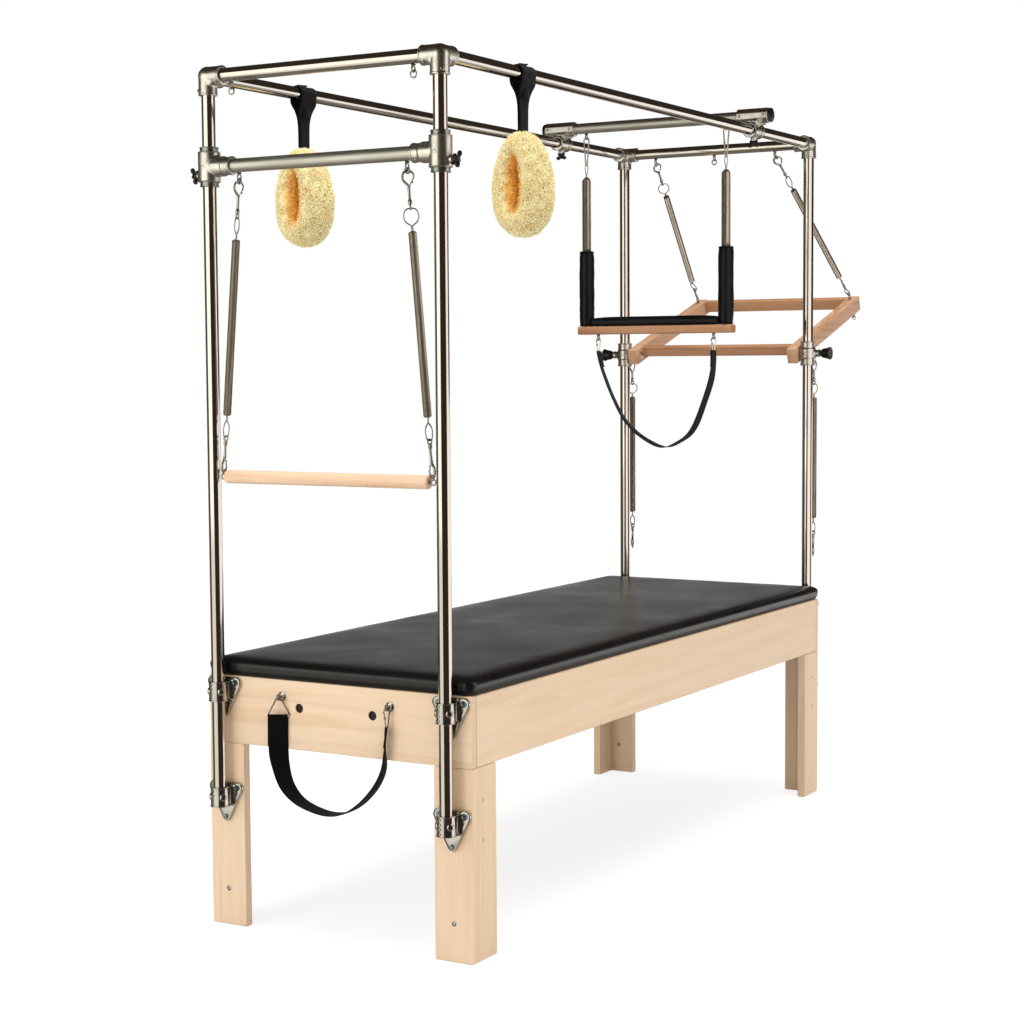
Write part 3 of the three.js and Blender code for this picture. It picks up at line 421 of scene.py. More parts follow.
# The direction of a line at one of its points
def headingAt(line, i, closed):
    before = line[i - 1] if i or closed else line[i]
    after = line[(i + 1) % len(line)] if i < len(line) - 1 or closed else line[i]
    return (after - before).normalized()


# A round wire along points; radius may be a list, one for each point
def wire(points, radius, facets, closed=False):
    path = [Vector(p) for p in points]
    count = len(path)
    radii = radius if isinstance(radius, list) else [radius] * count
    ringPoints, normal = [], None
    for i, point in enumerate(path):
        run = headingAt(path, i, closed)
        normal = (run.orthogonal() if normal is None else normal - run * normal.dot(run)).normalized()
        aside = run.cross(normal)
        for j in range(facets):
            turn = 2 * pi * j / facets
            ringPoints.append(point + (normal * cos(turn) + aside * sin(turn)) * radii[i])
    return ringPoints, ringWalls(count, facets, closed)


# A smooth line through a few points
def curved(marks, steps, closed=False):
    marks = [Vector(m) for m in marks]
    count = len(marks)
    line = []
    for i in range(count if closed else count - 1):
        b, c = marks[i], marks[(i + 1) % count]
        a = marks[i - 1] if i or closed else b * 2 - c
        d = marks[(i + 2) % count] if i + 2 < count or closed else c * 2 - b
        for j in range(steps):
            t = j / steps
            line.append(0.5 * ((2 * b) + (c - a) * t + (2 * a - 5 * b + 4 * c - d) * t ** 2
                               + (3 * b - a - 3 * c + d) * t ** 3))
    return line if closed else line + [marks[-1]]


def fromBmesh(made):
    made.verts.index_update()
    shape = [v.co.copy() for v in made.verts], [tuple(v.index for v in f.verts) for f in made.faces]
    made.free()
    return shape


def eased(made, edges, radius, steps):
    bmesh.ops.bevel(made, geom=edges, offset=radius, segments=steps, profile=0.5, affect="EDGES",
                    clamp_overlap=True)
    return fromBmesh(made)


def roundedBlock(sizeX, sizeY, sizeZ, radius):
    made = bmesh.new()
    bmesh.ops.create_cube(made, size=1.0)
    for vertex in made.verts:
        vertex.co = Vector((vertex.co.x * sizeX, vertex.co.y * sizeY, vertex.co.z * sizeZ))
    return eased(made, made.edges[:], radius, 3)


# An outline in XY drawn up along Z, its two rims rounded
def drawnUp(outline, tall, radius):
    made = bmesh.new()
    low = [made.verts.new((x, y, 0)) for x, y in outline]
    high = [made.verts.new((x, y, tall)) for x, y in outline]
    made.faces.new(reversed(low))
    made.faces.new(high)
    for i in range(len(low)):
        j = (i + 1) % len(low)
        made.faces.new((low[i], low[j], high[j], high[i]))
    rims = [e for e in made.edges if abs(e.verts[0].co.z - e.verts[1].co.z) < 1e-6]
    return eased(made, rims, radius, 2)


def evaluatedShape(blank, tools=()):
    bpy.context.view_layer.update()
    shown = blank.evaluated_get(bpy.context.evaluated_depsgraph_get())
    mesh = shown.to_mesh()
    shape = [v.co.copy() for v in mesh.vertices], [tuple(f.vertices) for f in mesh.polygons]
    shown.to_mesh_clear()
    for item in (blank, *tools):
        old = item.data
        bpy.data.objects.remove(item)
        bpy.data.meshes.remove(old)
    return shape


def rawMesh(name, shape, convert=lambda p: p):
    mesh = bpy.data.meshes.new(name)
    mesh.from_pydata([convert(p) for p in shape[0]], [], shape[1])
    made = bmesh.new()
    made.from_mesh(mesh)
    bmesh.ops.recalc_face_normals(made, faces=made.faces[:])
    made.to_mesh(mesh)
    made.free()
    return mesh


def blankOf(name, shape):
    blank = bpy.data.objects.new(name, rawMesh(name, shape))
    bpy.context.collection.objects.link(blank)
    return blank


# Overlapping bodies poured as one casting, its inner corners filled
def poured(shape, grain, softness):
    blank = blankOf("casting", shape)
    fill = blank.modifiers.new("fill", "REMESH")
    fill.mode, fill.voxel_size, fill.use_smooth_shade = "VOXEL", grain, True
    soften = blank.modifiers.new("soften", "SMOOTH")
    soften.factor, soften.iterations = 0.5, softness
    return evaluatedShape(blank)


# A shape with tools such as bores cut out of it
def cutFrom(shape, *tools):
    blank = blankOf("blank", shape)
    cutters = [blankOf("cutter", tool) for tool in tools]
    for cutter in cutters:
        drill = blank.modifiers.new("drill", "BOOLEAN")
        drill.operation, drill.object, drill.solver = "DIFFERENCE", cutter, "MANIFOLD"
    return evaluatedShape(blank, cutters)


def makePiece(name, shape, finish, body, nodes=(), sharp=38, rides=True):
    mesh = rawMesh(name, shape, toRow)
    for face in mesh.polygons:
        face.use_smooth = True
    mesh.set_sharp_from_angle(angle=radians(sharp))
    mesh.materials.append(finish)
    piece = bpy.data.objects.new(name, mesh)
    bpy.context.collection.objects.link(piece)
    if rides:
        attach(piece, body)
    if nodes:
        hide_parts(*nodes)
    return piece


# Straps. A route is a list of (across, down, turn share) in shares of the eye's place and
# the drop; the end strap's marks also hold its width's share

webbing = dict(wide=50, thick=2.6)
trapezeStrap = dict(x=684, eyeY=205, top=1473.03, drop=309, endWide=40, lapWide=38, lapGap=3.2, route=[
    (-1, 0, 0.02), (-1, 0.13, 0.02), (-0.955, 0.315, 0.02), (-0.832, 0.55, 0.02), (-0.702, 0.757, 0),
    (-0.571, 0.876, 0), (-0.374, 0.957, 0), (-0.225, 0.997, 0), (-0.076, 0.992, 0), (0.141, 0.93, 0.06),
    (0.36, 0.834, 0.12), (0.562, 0.695, 0.16), (0.749, 0.475, 0.18), (0.876, 0.283, 0.18),
    (0.961, 0.132, 0.16), (1, 0, 0.1)])
endStrap = dict(x=-1125, eyeY=162, top=604.03, drop=277, lapWide=49, foldWide=22, cup=0.9, route=[
    (1.012, 0.148, 0.65, 1), (1.018, 0.43, 0.62, 1), (0.983, 0.602, 0.3, 1), (0.868, 0.788, 0.13, 1),
    (0.631, 0.918, 0.02, 1), (0.276, 0.988, 0, 1), (-0.038, 1, 0, 1), (-0.312, 0.954, 0, 1),
    (-0.585, 0.842, 0, 0.9), (-0.818, 0.687, 0, 0.75), (-0.943, 0.53, 0.05, 0.6),
    (-0.965, 0.343, 0.3, 0.5), (-1, 0.166, 0.45, 0.48)])


# A strap whose stations are (point, width direction, width); its edges are rounded and its middle cupped
def ribbon(stations, thick, cup=0.6, steps=6, closed=False):
    line = curved([s[0] for s in stations], steps, closed)
    aims = curved([Vector(s[1]) for s in stations], steps, closed)
    wides = [p.x for p in curved([(s[2], 0, 0) for s in stations], steps, closed)]
    half = thick / 2
    section = [(-0.5, -0.4), (-0.46, -1), (-0.23, -1), (0, -1), (0.23, -1), (0.46, -1), (0.5, -0.4),
               (0.5, 0.4), (0.46, 1), (0.23, 1), (0, 1), (-0.23, 1), (-0.46, 1), (-0.5, 0.4)]
    points, flatMap, run = [], [], 0.0
    for i, point in enumerate(line):
        forward = headingAt(line, i, closed)
        width = (aims[i] - forward * aims[i].dot(forward)).normalized()
        depth = forward.cross(width)
        run += (point - line[i - 1]).length if i else 0.0
        for a, b in section:
            bow = cup * (4 * a * a - 0.5)
            points.append(point + width * (a * wides[i]) + depth * (b * half + bow))
            flatMap.append(((a + 0.5) * wides[i], run))
    return (points, ringWalls(len(line), len(section), closed)), flatMap, run


def joinRibbons(*made):
    return merged(*[m[0] for m in made]), sum((m[1] for m in made), [])


def makeStrap(name, shape, flatMap, body, nodes=()):
    piece = makePiece(name, shape, blackWebbing, body, nodes, 60)
    layer = piece.data.uv_layers.new(name="webbing")
    for loop in piece.data.loops:
        layer.data[loop.index].uv = flatMap[loop.vertex_index]
    return piece


# The sewn end of a strap: a short second ply with rows of raised stitches
def stitches(middle, acrossAim, alongAim, wide, tall, rows=3):
    rowsMade = []
    step, alongStep = Vector(acrossAim), Vector(alongAim)
    out = alongStep.cross(step).normalized()
    for row in range(rows):
        for i in range(9):
            a, b = (i / 8 - 0.5) * wide * 0.8, (row / (rows - 1) - 0.5) * tall
            for face in (-1, 1):
                start = Vector(middle) + step * (a - wide * 0.035) + alongStep * b + out * face * 3.0
                rowsMade.append(wire([start, start + step * wide * 0.07], 0.5, 5))
    return merged(*rowsMade)


def makeTrapezeStrap():
    t = trapezeStrap
    stations = []
    for y, z, share in t["route"]:
        turn = share * pi / 2
        stations.append((Vector((t["x"], y * t["eyeY"], t["top"] - z * t["drop"])),
                         Vector((cos(turn), sin(turn), 0)), t["endWide"] if z < 0.2 else webbing["wide"]))
    main = ribbon(stations, webbing["thick"])
    laps = []
    for s, run in ((-1, stations[:3]), (1, stations[:-4:-1])):
        marks = [run[0][0], run[1][0], run[1][0].lerp(run[2][0], 0.2)]
        laps.append(ribbon([(p - Vector((0, s * t["lapGap"], 0)), run[0][1], t["lapWide"]) for p in marks],
                           webbing["thick"]))
    shape, flatMap = joinRibbons(main, *laps)
    piece = makeStrap("trapezeStrap", shape, flatMap, "sling", ["trapeze_strap"])
    thread = merged(stitches((t["x"], -203.4, 1450), (1, 0, 0), (0, 0, 1), 36, 24),
                    stitches((t["x"], 199.9, 1450), (1, 0, 0), (0, 0.18, 0.98), 36, 24))
    makePiece("trapezeStrapStitches", thread, blackWebbing, "sling")


def makeEndStrap():
    t = endStrap
    stations = []
    places = [Vector((t["x"], y * t["eyeY"], t["top"] - z * t["drop"])) for y, z, _, _ in t["route"]]
    for i, (_, _, share, wide) in enumerate(t["route"]):
        forward = (places[min(i + 1, len(places) - 1)] - places[max(i - 1, 0)]).normalized()
        lengthwise = Vector((1, 0, 0))
        turn = share * pi / 2
        aim = lengthwise * cos(turn) + forward.cross(lengthwise) * sin(turn)
        stations.append((places[i], aim, wide * webbing["wide"]))
    lapMarks = [(p + Vector((-3.4, 0, 0)), aim, t["lapWide"]) for p, aim, _ in stations[:2]]
    foldMarks = [(p + Vector((0, 3, 0)), aim, t["foldWide"]) for p, aim, _ in stations[-2:]]
    main, lap, fold = (ribbon(marks, webbing["thick"], t["cup"])
                       for marks in (stations, lapMarks, foldMarks))
    shape, flatMap = joinRibbons(main, lap, fold)
    piece = makeStrap("endStrap", shape, flatMap, "end_strap", ["end_strap"])
    thread = stitches((t["x"] - 1.6, 164, 528), (0, 1, 0), (0, 0, 1), 46, 30)
    makePiece("endStrapStitches", thread, blackWebbing, "end_strap")


# Small hardware: eyes, rings, hooks and screws

def circle(radius, plane="XZ", count=26):
    marks = [(radius * cos(t), radius * sin(t)) for t in
             (2 * pi * i / count for i in range(count))]
    return [Vector({"XZ": (a, 0, b), "YZ": (0, a, b), "XY": (a, b, 0)}[plane]) for a, b in marks]


def eyeRing():
    return wire(circle(eye["radius"]), eye["wire"], 10, True)


# An eye whose shank runs up from its ring; a hexagon nut sits at the top
def eyeBolt():
    reach = eye["drop"]
    nut = lathe([(0, reach - 5), (4.6, reach - 5), (5.4, reach - 4.2), (5.4, reach - 0.8),
                 (4.8, reach), (0, reach)], "Z", 6)
    return merged(eyeRing(), rod(2.4, eye["radius"], reach, "Z", 0.3, 16), nut)


# A small ring that hangs in an eye
def spareRing(radius=6.0, thick=1.7):
    return moved(wire(circle(radius, "YZ"), thick, 8, True), 0, 0, -3.1 - radius)


# A swivel snap hook, hung by its bow from the origin, its swivel eye at the foot
def snapHook(length, wide=13.0):
    bow = curved([(0, 0.5, -36), (0, 4.4, -31), (0, wide - 0.5, -21), (0, wide - 0.5, -10),
                  (0, wide * 0.6, -2.2), (0, 0, 0), (0, -wide * 0.65, -3.0), (0, -wide, -10),
                  (0, -wide, -16), (0, -wide * 0.8, -21.5)], 5)
    thick = [3.2 - 1.1 * (i / (len(bow) - 1)) ** 2 for i in range(len(bow))]
    gate = wire([(0, -wide * 0.86, -19.5), (0, -wide * 0.55, -27), (0, -1.2, -36)], 1.3, 7)
    thumb = facing(lathe([(0, -2), (2.2, -1.4), (2.8, 0.4), (1.9, 2), (0, 2.6)], "Z", 12),
                   (0, -wide * 0.6 - 1.4, -27), (0, -1, 0.2))
    foot = -length + 7.0
    shank = lathe([(0, -33), (4.2, -34.5), (4.7, -38), (3.6, -41), (3.2, foot + 17), (4.2, foot + 15),
                   (5.2, foot + 14), (5.2, foot + 11.5), (4.4, foot + 11), (5.2, foot + 10.4),
                   (5.2, foot + 6.6), (3.8, foot + 4.4), (0, foot + 4)], "Z", 20)
    swivel = moved(wire(circle(5.6), 2.0, 8, True), 0, 0, -length + 5.6)
    return merged(wire(bow, thick, 9), gate, thumb, shank, swivel)


# A wire ring that closes to two legs at its foot, hung from the origin
def teardrop(halfWide, tall, tail=14, thick=1.7):
    side = [(halfWide * 0.72, -tall * 0.08), (halfWide, -tall * 0.36), (halfWide * 0.84, -tall * 0.64),
            (1.9, -tall * 0.86), (1.5, -tall * 0.95), (1.5, -tall - tail)]
    marks = [(0, -y, z) for y, z in reversed(side)] + [(0, 0, 0)] + [(0, y, z) for y, z in side]
    return wire(curved(marks, 6), thick, 8)


# A long narrow link, wide at its top
def longLink(length, halfWide, thick):
    marks = [(0, 0, 0), (0, halfWide * 0.75, -2.5), (0, halfWide, -10), (0, halfWide * 0.8, -length * 0.34),
             (0, 3.6, -length * 0.86), (0, 2.4, -length + 1.5), (0, 0, -length)]
    marks += [(0, -y, z) for _, y, z in reversed(marks[1:-1])]
    clasp = moved(band(3.4, 1.2, -3, 3, "Z", 0.8, 16), 0, halfWide * 0.62, -length * 0.5)
    return merged(wire(curved(marks, 5, True), thick, 8, True), clasp)


# Close-wound wire, drawn down from the origin and drawn in at both ends
def coil(radius, tall, thick, drawnIn, steps=12, tipRadius=2.6):
    turnsInAll = tall / (thick * 2.04)
    line = []
    for i in range(int(turnsInAll * steps) + 1):
        t = i / steps
        near = min(1.0, min(t, turnsInAll - t) / drawnIn)
        reach = tipRadius + (radius - thick - tipRadius) * sin(near * pi / 2)
        turn = 2 * pi * t
        line.append(Vector((reach * cos(turn), reach * sin(turn), -t * thick * 2.04)))
    return wire(line, thick, 5)


# How deep a ring sits in a hook, half a wire, and the rod's nose inside the coil
linkBite, wireHalf, noseLength = 3.4, 2.0, 14.0


# One end's chain, hung from the origin: a ring in the eye, a snap hook, a wire ring with two legs
def springChain(hook, loop, ringHalf, turns):
    shrink = min(1.0, (hook - 9) / 62)
    snap = turned(snapHook((hook - 9) / shrink), Matrix.Scale(shrink, 3))
    return (spun(merged(spareRing(), moved(snap, 0, 0, -9)), turns[0]),
            moved(spun(teardrop(ringHalf, loop - 8), turns[1]), 0, 0, linkBite - hook))


# A spring hung from the origin by drop: its coil, its hooks, its rings. An end is
# (hook's length, ring's length, ring's half width, (hook's turn, ring's turn))
def springSet(radius, drop, head, foot, thick=1.35):
    chains = [springChain(*end) for end in (head, foot)]
    reach = [end[0] + end[1] - linkBite - wireHalf for end in (head, foot)]
    flip = Matrix.Rotation(pi, 3, "X")
    low = [moved(turned(shape, flip), 0, 0, -drop) for shape in chains[1]]
    return (moved(coil(radius, drop - sum(reach), thick, 1.4), 0, 0, -reach[0]),
            merged(chains[0][0], low[0]), merged(chains[0][1], low[1]))


# The trapeze's spring: a long link above, a straight rod below that runs into the board
def sleevedSpring(radius, drop, hook, loop, ringHalf, thick=1.5):
    reach = hook + loop - linkBite - wireHalf
    tall = drop - reach + wireHalf - noseLength
    ring = moved(teardrop(ringHalf, loop - 6), 0, 0, linkBite - hook)
    return (moved(coil(radius, tall, thick, 5), 0, 0, -reach),
            merged(longLink(hook, 9, 2.4), rod(3.2, 4 - reach - tall, -drop, "Z", 0.5, 16)), ring)


# Sets a shape that hangs from the origin along a direction, its Y kept level
def hungAlong(shape, start, run):
    forward = Vector((0, 1, 0)).cross(-run).normalized()
    return moved(turned(shape, Matrix((forward, forward.cross(run), -run)).transposed()), *start)


# A sunk hexagon screw in a raised round boss, on a face at the origin
def setScrew(radius):
    return lathe([(0, -1.6), (1.9, -1.6), (2.0, 0.8), (radius * 0.72, 1.1), (radius, 0.3), (radius, -2.5),
                  (0, -2.5)], "Z", 18)


# A knob with two fat wings and two small ones; its screw runs up from the origin
def wingKnob(length=42.0):
    reach = length / 2 - 7.5
    lobe = lathe([(0, -8), (4.2, -6), (5.9, -2), (6.1, 2), (4.6, 6), (0, 8)], "X", 18)
    small = lathe([(0, -4.6), (3.2, -3.2), (4.2, 0), (3.2, 3.2), (0, 4.6)], "Y", 16)
    body = merged(lathe([(0, -0.2), (8, -0.4), (8.2, -7), (6.5, -14), (0, -16)], "Z", 24),
                  moved(lobe, reach, 0, -12.5), moved(lobe, -reach, 0, -12.5),
                  lathe([(0, -reach), (4.4, -reach), (4.4, reach), (0, reach)], "X", 16),
                  moved(small, 0, 7.5, -10), moved(small, 0, -7.5, -10))
    return merged(poured(body, 1.0, 4), rod(3.8, -2, 12, "Z", 0.5, 20))


# The end strap hangs from a wire triangle at the far eye and a long clip at the near one
def makeEndStrapClips():
    t = endStrap
    triangle = wire([(0, -6.5, -2), (0, 0, 0), (0, 6.5, -2), (0, 28, -43), (0, 26, -46), (0, -26, -46),
                     (0, -28, -43)], 1.9, 8, True)
    turn = 90 - t["route"][0][2] * 90
    clip = longLink(46, 7.5, 1.9)
    makePiece("endStrapClips", merged(moved(spun(triangle, turn), t["x"], t["eyeY"], t["top"]),
                                      moved(spun(clip, 30), t["x"], -t["eyeY"], t["top"])),
              wireMetal, "end_strap")


makeTrapezeStrap()
makeEndStrap()
makeEndStrapClips()
print("hardware and straps made")


# The bed: the boards keep their solids and get their grain, the head rail is cut anew

headRail = dict(plugRadius=12, plugSpan=220, plugDrop=68, eyeY=162, eyeZ=606, eyeReach=15)
legScrews = dict(radius=5.5, endY=340, endZ=95, sideX=1058, plugZ=(392, 295))


def finishNode(name, finish):
    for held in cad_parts[name].material_slots:
        held.material = finish


def makeBed():
    for side, _ in sides:
        finishNode("side_rail_" + side, mapleLong)
    finishNode("end_rail_foot", mapleAcross)
    for end, side, _, _ in corners:
        finishNode(f"leg_{end}_{side}", mapleUp)

    h = headRail
    face = -bed["length"] / 2
    railZ = bed["railTop"] - bed["railHeight"] / 2
    board = roundedBlock(bed["boardThick"], bed["width"], bed["railHeight"], 2.5)
    plugs = [moved(rod(h["plugRadius"], -bed["boardThick"], -3, "X"), 0, s * h["plugSpan"] / 2,
                   bed["railHeight"] / 2 - h["plugDrop"]) for _, s in sides]
    board = moved(cutFrom(board, *plugs), face + bed["boardThick"] / 2, 0, railZ)
    makePiece("headRail", board, mapleAcross, "frame", ["end_rail_head"])
    cap = lathe([(0, 5.5), (9.5, 5.2), (10.6, 3.4), (11.9, 3.0), (11.9, 8.8), (0, 8.8)], "X", 32)
    makePiece("headRailPlugs", onBothSides(cap, face, h["plugSpan"] / 2, bed["railTop"] - h["plugDrop"]),
              darkHole, "frame")
    flange = lathe([(0, -4.4), (7.2, -4.4), (8, -3.8), (9.6, -3), (12, -1.6), (12, 0.6), (0, 0.6)], "X", 28)
    made = merged(moved(eyeRing(), -h["eyeReach"]), rod(2.4, -8.6, 1, "X", 0.3, 14), flange)
    makePiece("strapEyes", onBothSides(made, face, h["eyeY"], h["eyeZ"]), wireMetal, "frame")

    # Small screws on the legs: a dark recess with a bright socket head in it
    k = legScrews
    rim, wide = k["radius"], k["radius"] + 1.2
    head = merged(setScrew(rim), lathe([(rim, 0.5), (wide, 0.25), (wide, -1), (rim, -1)], "Z", 20, True))
    nut = lathe([(0, 0.6), (2.4, 0.7), (2.8, 1.3), (6.2, 1.1), (6.8, 0.3), (6.8, -1), (0, -1)], "Z", 22)
    screws = [facing(made, (x * (bed["length"] / 2 - depth), y * k["endY"], k["endZ"]), (x * aim, 0, 0))
              for _, _, x, y in corners for made, depth, aim in ((head, 0, 1), (nut, bed["boardThick"], -1))]
    makePiece("legScrews", merged(*screws), boltMetal, "frame")
    plug = lathe([(0, 0.35), (5.4, 0.2), (6.4, -0.3), (6.4, -2), (0, -2)], "Z", 24)
    woods = [facing(plug, (x * k["sideX"], y * bed["width"] / 2, height), (0, y, 0))
             for _, _, x, y in corners for height in k["plugZ"]]
    makePiece("woodPlugs", merged(*woods), maplePlug, "frame")


# The mat: a firm bullnosed pad, slightly crowned, with small gathers round its corners

matSize = dict(thick=43, crown=3, overhang=6, corner=26, longMarks=56, shortMarks=22, cornerMarks=8,
               gather=0.7, gatherRows=(1, 8), topInsets=(45, 65, 90, 120, 160, 210, 270, 330, 385))
# Its edge, as (distance in from its outline, height)
matEdge = [(10, 0.3), (6.3, 3.4), (3.2, 8.9), (1, 16.4), (0, 24), (0.8, 29), (2.9, 33.4), (6.4, 37),
           (11, 39.6), (17, 41.4), (25, 42.6), (35, 43.3)]


def matRing(inset, height):
    m = matSize
    halfX = bed["length"] / 2 + m["overhang"] - inset
    halfY = bed["width"] / 2 + m["overhang"] - inset
    radius = max(min(m["corner"] - inset * 0.35, halfY * 0.9), 3)
    arcs, ring = [], []
    for quarter, (signX, signY) in enumerate(((1, 1), (-1, 1), (-1, -1), (1, -1))):
        middle = Vector((signX * (halfX - radius), signY * (halfY - radius), height))
        arcs.append([middle + Vector((cos(turn), sin(turn), 0)) * radius for turn in
                     ((quarter + i / m["cornerMarks"]) * pi / 2 for i in range(m["cornerMarks"] + 1))])
    for quarter, arc in enumerate(arcs):
        marks = m["shortMarks"] if quarter % 2 else m["longMarks"]
        stop = arcs[(quarter + 1) % 4][0]
        ring += arc + [arc[-1].lerp(stop, i / marks) for i in range(1, marks)]
    return ring


def makeMat():
    m = matSize
    profile = matEdge + [(d, m["thick"] + m["crown"] * (1 - exp(-(d - 14) / 70))) for d in m["topInsets"]]
    rings = [matRing(inset, height) for inset, height in profile]
    first, last = m["gatherRows"]
    points = []
    for r, ring in enumerate(rings):
        for p in ring:
            lift = noise.noise(p * 0.011) * 0.5 + noise.noise(p * 0.03) * 0.25
            cornerX = bed["length"] / 2 - abs(p.x)
            cornerY = bed["width"] / 2 - abs(p.y)
            near = max(0.0, 1 - hypot(max(cornerX, 0), max(cornerY, 0)) / 60)
            angle = atan2(cornerY - 26, cornerX - 26)
            gather = near * m["gather"] * sin(angle * 22) * (first <= r <= last)
            flat = Vector((p.x, p.y, 0)).normalized()
            points.append(p + Vector((0, 0, lift if r > 5 else 0)) + flat * (gather - 0.6))
    shape = moved((points, ringWalls(len(rings), len(rings[0]))), 0, 0, bed["railTop"] + 0.3)
    piece = makePiece("matPad", shape, matVinyl, "frame", ["mat"], sharp=50)


makeBed()
makeMat()
print("bed made")


# The canopy's tubes and elbows

def boreAlong(axis, radius, start=-60, stop=60):
    return rod(radius, start, stop, axis, 0.2, 40)


def hollow(start, stop, axis):
    radius = canopy["tubeRadius"]
    return band(radius, radius - canopy["tubeWall"], start, stop, axis, 0.6, 56)


# Elbow for the head's near corner: sockets down, along +X and along +Y
def elbowShape():
    reach, radius = canopy["elbowReach"], canopy["collarRadius"]
    ball = lathe([(0, -24.4)] + [(24.4 * cos(t), 24.4 * sin(t)) for t in
                 (radians(a) for a in range(-75, 76, 15))] + [(0, 24.4)], "Z", 32)
    fillets = [moved(roundedBlock(*size, 9), *place) for size, place in
               (((30, 30, 40), (11, 11, 0)), ((30, 40, 30), (11, 0, -11)), ((40, 30, 30), (0, 11, -11)))]
    sockets = (("X", 1), ("Y", 1), ("Z", -1))
    body = merged(ball, *fillets, *[rod(radius, 0, reach * s, axis, 1.2, 40) for axis, s in sockets])
    bores = [boreAlong(axis, bore["elbow"], s * canopy["tubeEnd"], s * (reach + 4)) for axis, s in sockets]
    rims = [band(24.4, 20, s * (reach - 5.5), s * (reach - 0.3), axis, 1.4) for axis, s in sockets]
    screws = [facing(setScrew(4.8), place, aim) for place, aim in
              (((-17.6, -17.6, -36), (-1, -1, 0)), ((-17.6, 36, -17.6), (-1, 0, -1)),
               ((36, -17.6, -17.6), (0, -1, -1)))]
    return merged(cutFrom(poured(body, 1.9, 7), *bores), *rims, *screws)


def makeCanopy():
    x, y, z, end = canopy["postX"], canopy["postY"], canopy["height"], canopy["tubeEnd"]
    elbow = elbowShape()
    quarter = {"head_near": 0, "foot_near": 1, "foot_far": 2, "head_far": 3}
    for name, side, signX, signY in corners:
        corner = f"{name}_{side}"
        post = moved(hollow(317, z - end, "Z"), signX * x, signY * y, 0)
        makePiece("post_" + corner + "_tube", post, polishedSteel, "frame", ["post_" + corner])
        turn = spun(elbow, quarter[corner] * 90)
        makePiece("elbow_" + corner + "_casting", moved(turn, signX * x, signY * y, z), castMetal,
                  "frame", ["elbow_" + corner])
    for side, s in sides:
        makePiece("topTube_" + side, moved(hollow(end - x, x - end, "X"), 0, s * y, z), polishedSteel,
                  "frame", ["top_tube_" + side])
    for name, signX, eyes in (("head", -1, (-267, 267)), ("foot", 1, (-220, 0, 220))):
        bar = moved(hollow(end - y, y - end, "Y"), signX * x, 0, z)
        makePiece("endTube_" + name, bar, polishedSteel, "frame", ["end_tube_" + name])
        bolts = []
        for across in eyes:
            made = eyeBolt()
            if name == "head" or across == 0:
                made = merged(made, spareRing(8.4, 2))
            bolts.append(moved(made, signX * x, across, z - eyeBelowTube))
        makePiece("endEyes_" + name, merged(*bolts), wireMetal, "frame")


# Post brackets: a collar with ribs, a flared neck and a three-lobed plate with a bright rim

bracketSize = dict(plateX=22.7, thick=7, halfWide=52, lobe=14, tall=102, tip=12, drop=9, collar=50)


def lobedOutline(inset=0.0, marks=8):
    b = bracketSize
    sideY, line = b["halfWide"] - b["lobe"], []
    for across, height, radius, start, stop in (
            (sideY, -b["lobe"], b["lobe"], -30, 90), (-sideY, -b["lobe"], b["lobe"], 90, 210),
            (0, b["tip"] - b["tall"], b["tip"], 210, 330)):
        for i in range(marks + 1):
            turn = radians(start + (stop - start) * i / marks)
            line.append((across + (radius - inset) * cos(turn), height + (radius - inset) * sin(turn)))
    return line


def bracketShape():
    b = bracketSize
    upright = Matrix(((0, 0, 1), (1, 0, 0), (0, 1, 0)))
    plate = moved(turned(drawnUp(lobedOutline(), b["thick"], 1), upright), b["plateX"])
    top, foot = -b["drop"], -b["drop"] - b["collar"]
    flare = ((2, 19, top - 1, foot + 6), (14, 20, top - 1, foot + 5), (20, 25, top, foot + 2),
             (b["plateX"] + 1, 33, top + 4, foot - 4))
    neck = [Vector((x, y, z)) for x, half, high, low in flare
            for y, z in ((-half, low), (half, low), (half, high), (-half, high))]
    cast = poured(merged(rod(24, foot, top, "Z", 1.4, 44), (neck, ringWalls(4, 4))), 1.8, 4)
    rimLine = [Vector((b["plateX"] + 0.2, y, z)) for y, z in lobedOutline(1.6)]
    rim = wire(rimLine, 1.7, 8, True)
    lug = lathe([(0, 2.2), (2.4, 1.8), (3.2, 0.4), (3.4, -2), (0, -2)], "Z", 14)
    lugs = [facing(lug, (24 * cos(a), 24 * sin(a), foot + 8 + i * 11.3), (cos(a), sin(a), 0))
            for i in range(4) for a in (radians(152), radians(170))]
    lips = [band(25.3, 20, low, low + 3.4, "Z", 1.2) for low in (top - 3.2, foot - 0.2)]
    boss = lathe([(0, 0.6), (1.8, 0.8), (2.1, 3.6), (5.2, 3.7), (8.2, 2.4), (9.4, 0.2), (9.6, -4), (0, -4)],
                 "Z", 28)
    bosses = [facing(boss, (23.6 * cos(a), 23.6 * sin(a), (top + foot) / 2), (cos(a), sin(a), 0))
              for a in (radians(236), radians(124))]
    return merged(cast, plate, rim, *lugs, *lips, *bosses)


def bracketBolts():
    b = bracketSize
    head = merged(lathe([(0, -1), (8.6, -1), (8.6, 0.8), (8.0, 1.4), (0, 1.4)], "Z", 24),
                  lathe([(0, 1.2), (1.9, 1.2), (2.2, 4.6), (4.4, 5), (5.8, 3.4), (6.2, 1), (0, 1)], "Z", 24))
    small = lathe([(0, 1.2), (1.6, 1.2), (1.8, 3.2), (3.8, 3.4), (5.2, 2.2), (6, -0.5), (0, -0.5)], "Z", 22)
    face = b["plateX"]
    return merged(*[facing(head, (face, s * 36, -b["lobe"]), (-1, 0, 0)) for _, s in sides],
                  facing(small, (face, 0, b["tip"] - b["tall"]), (-1, 0, 0)))


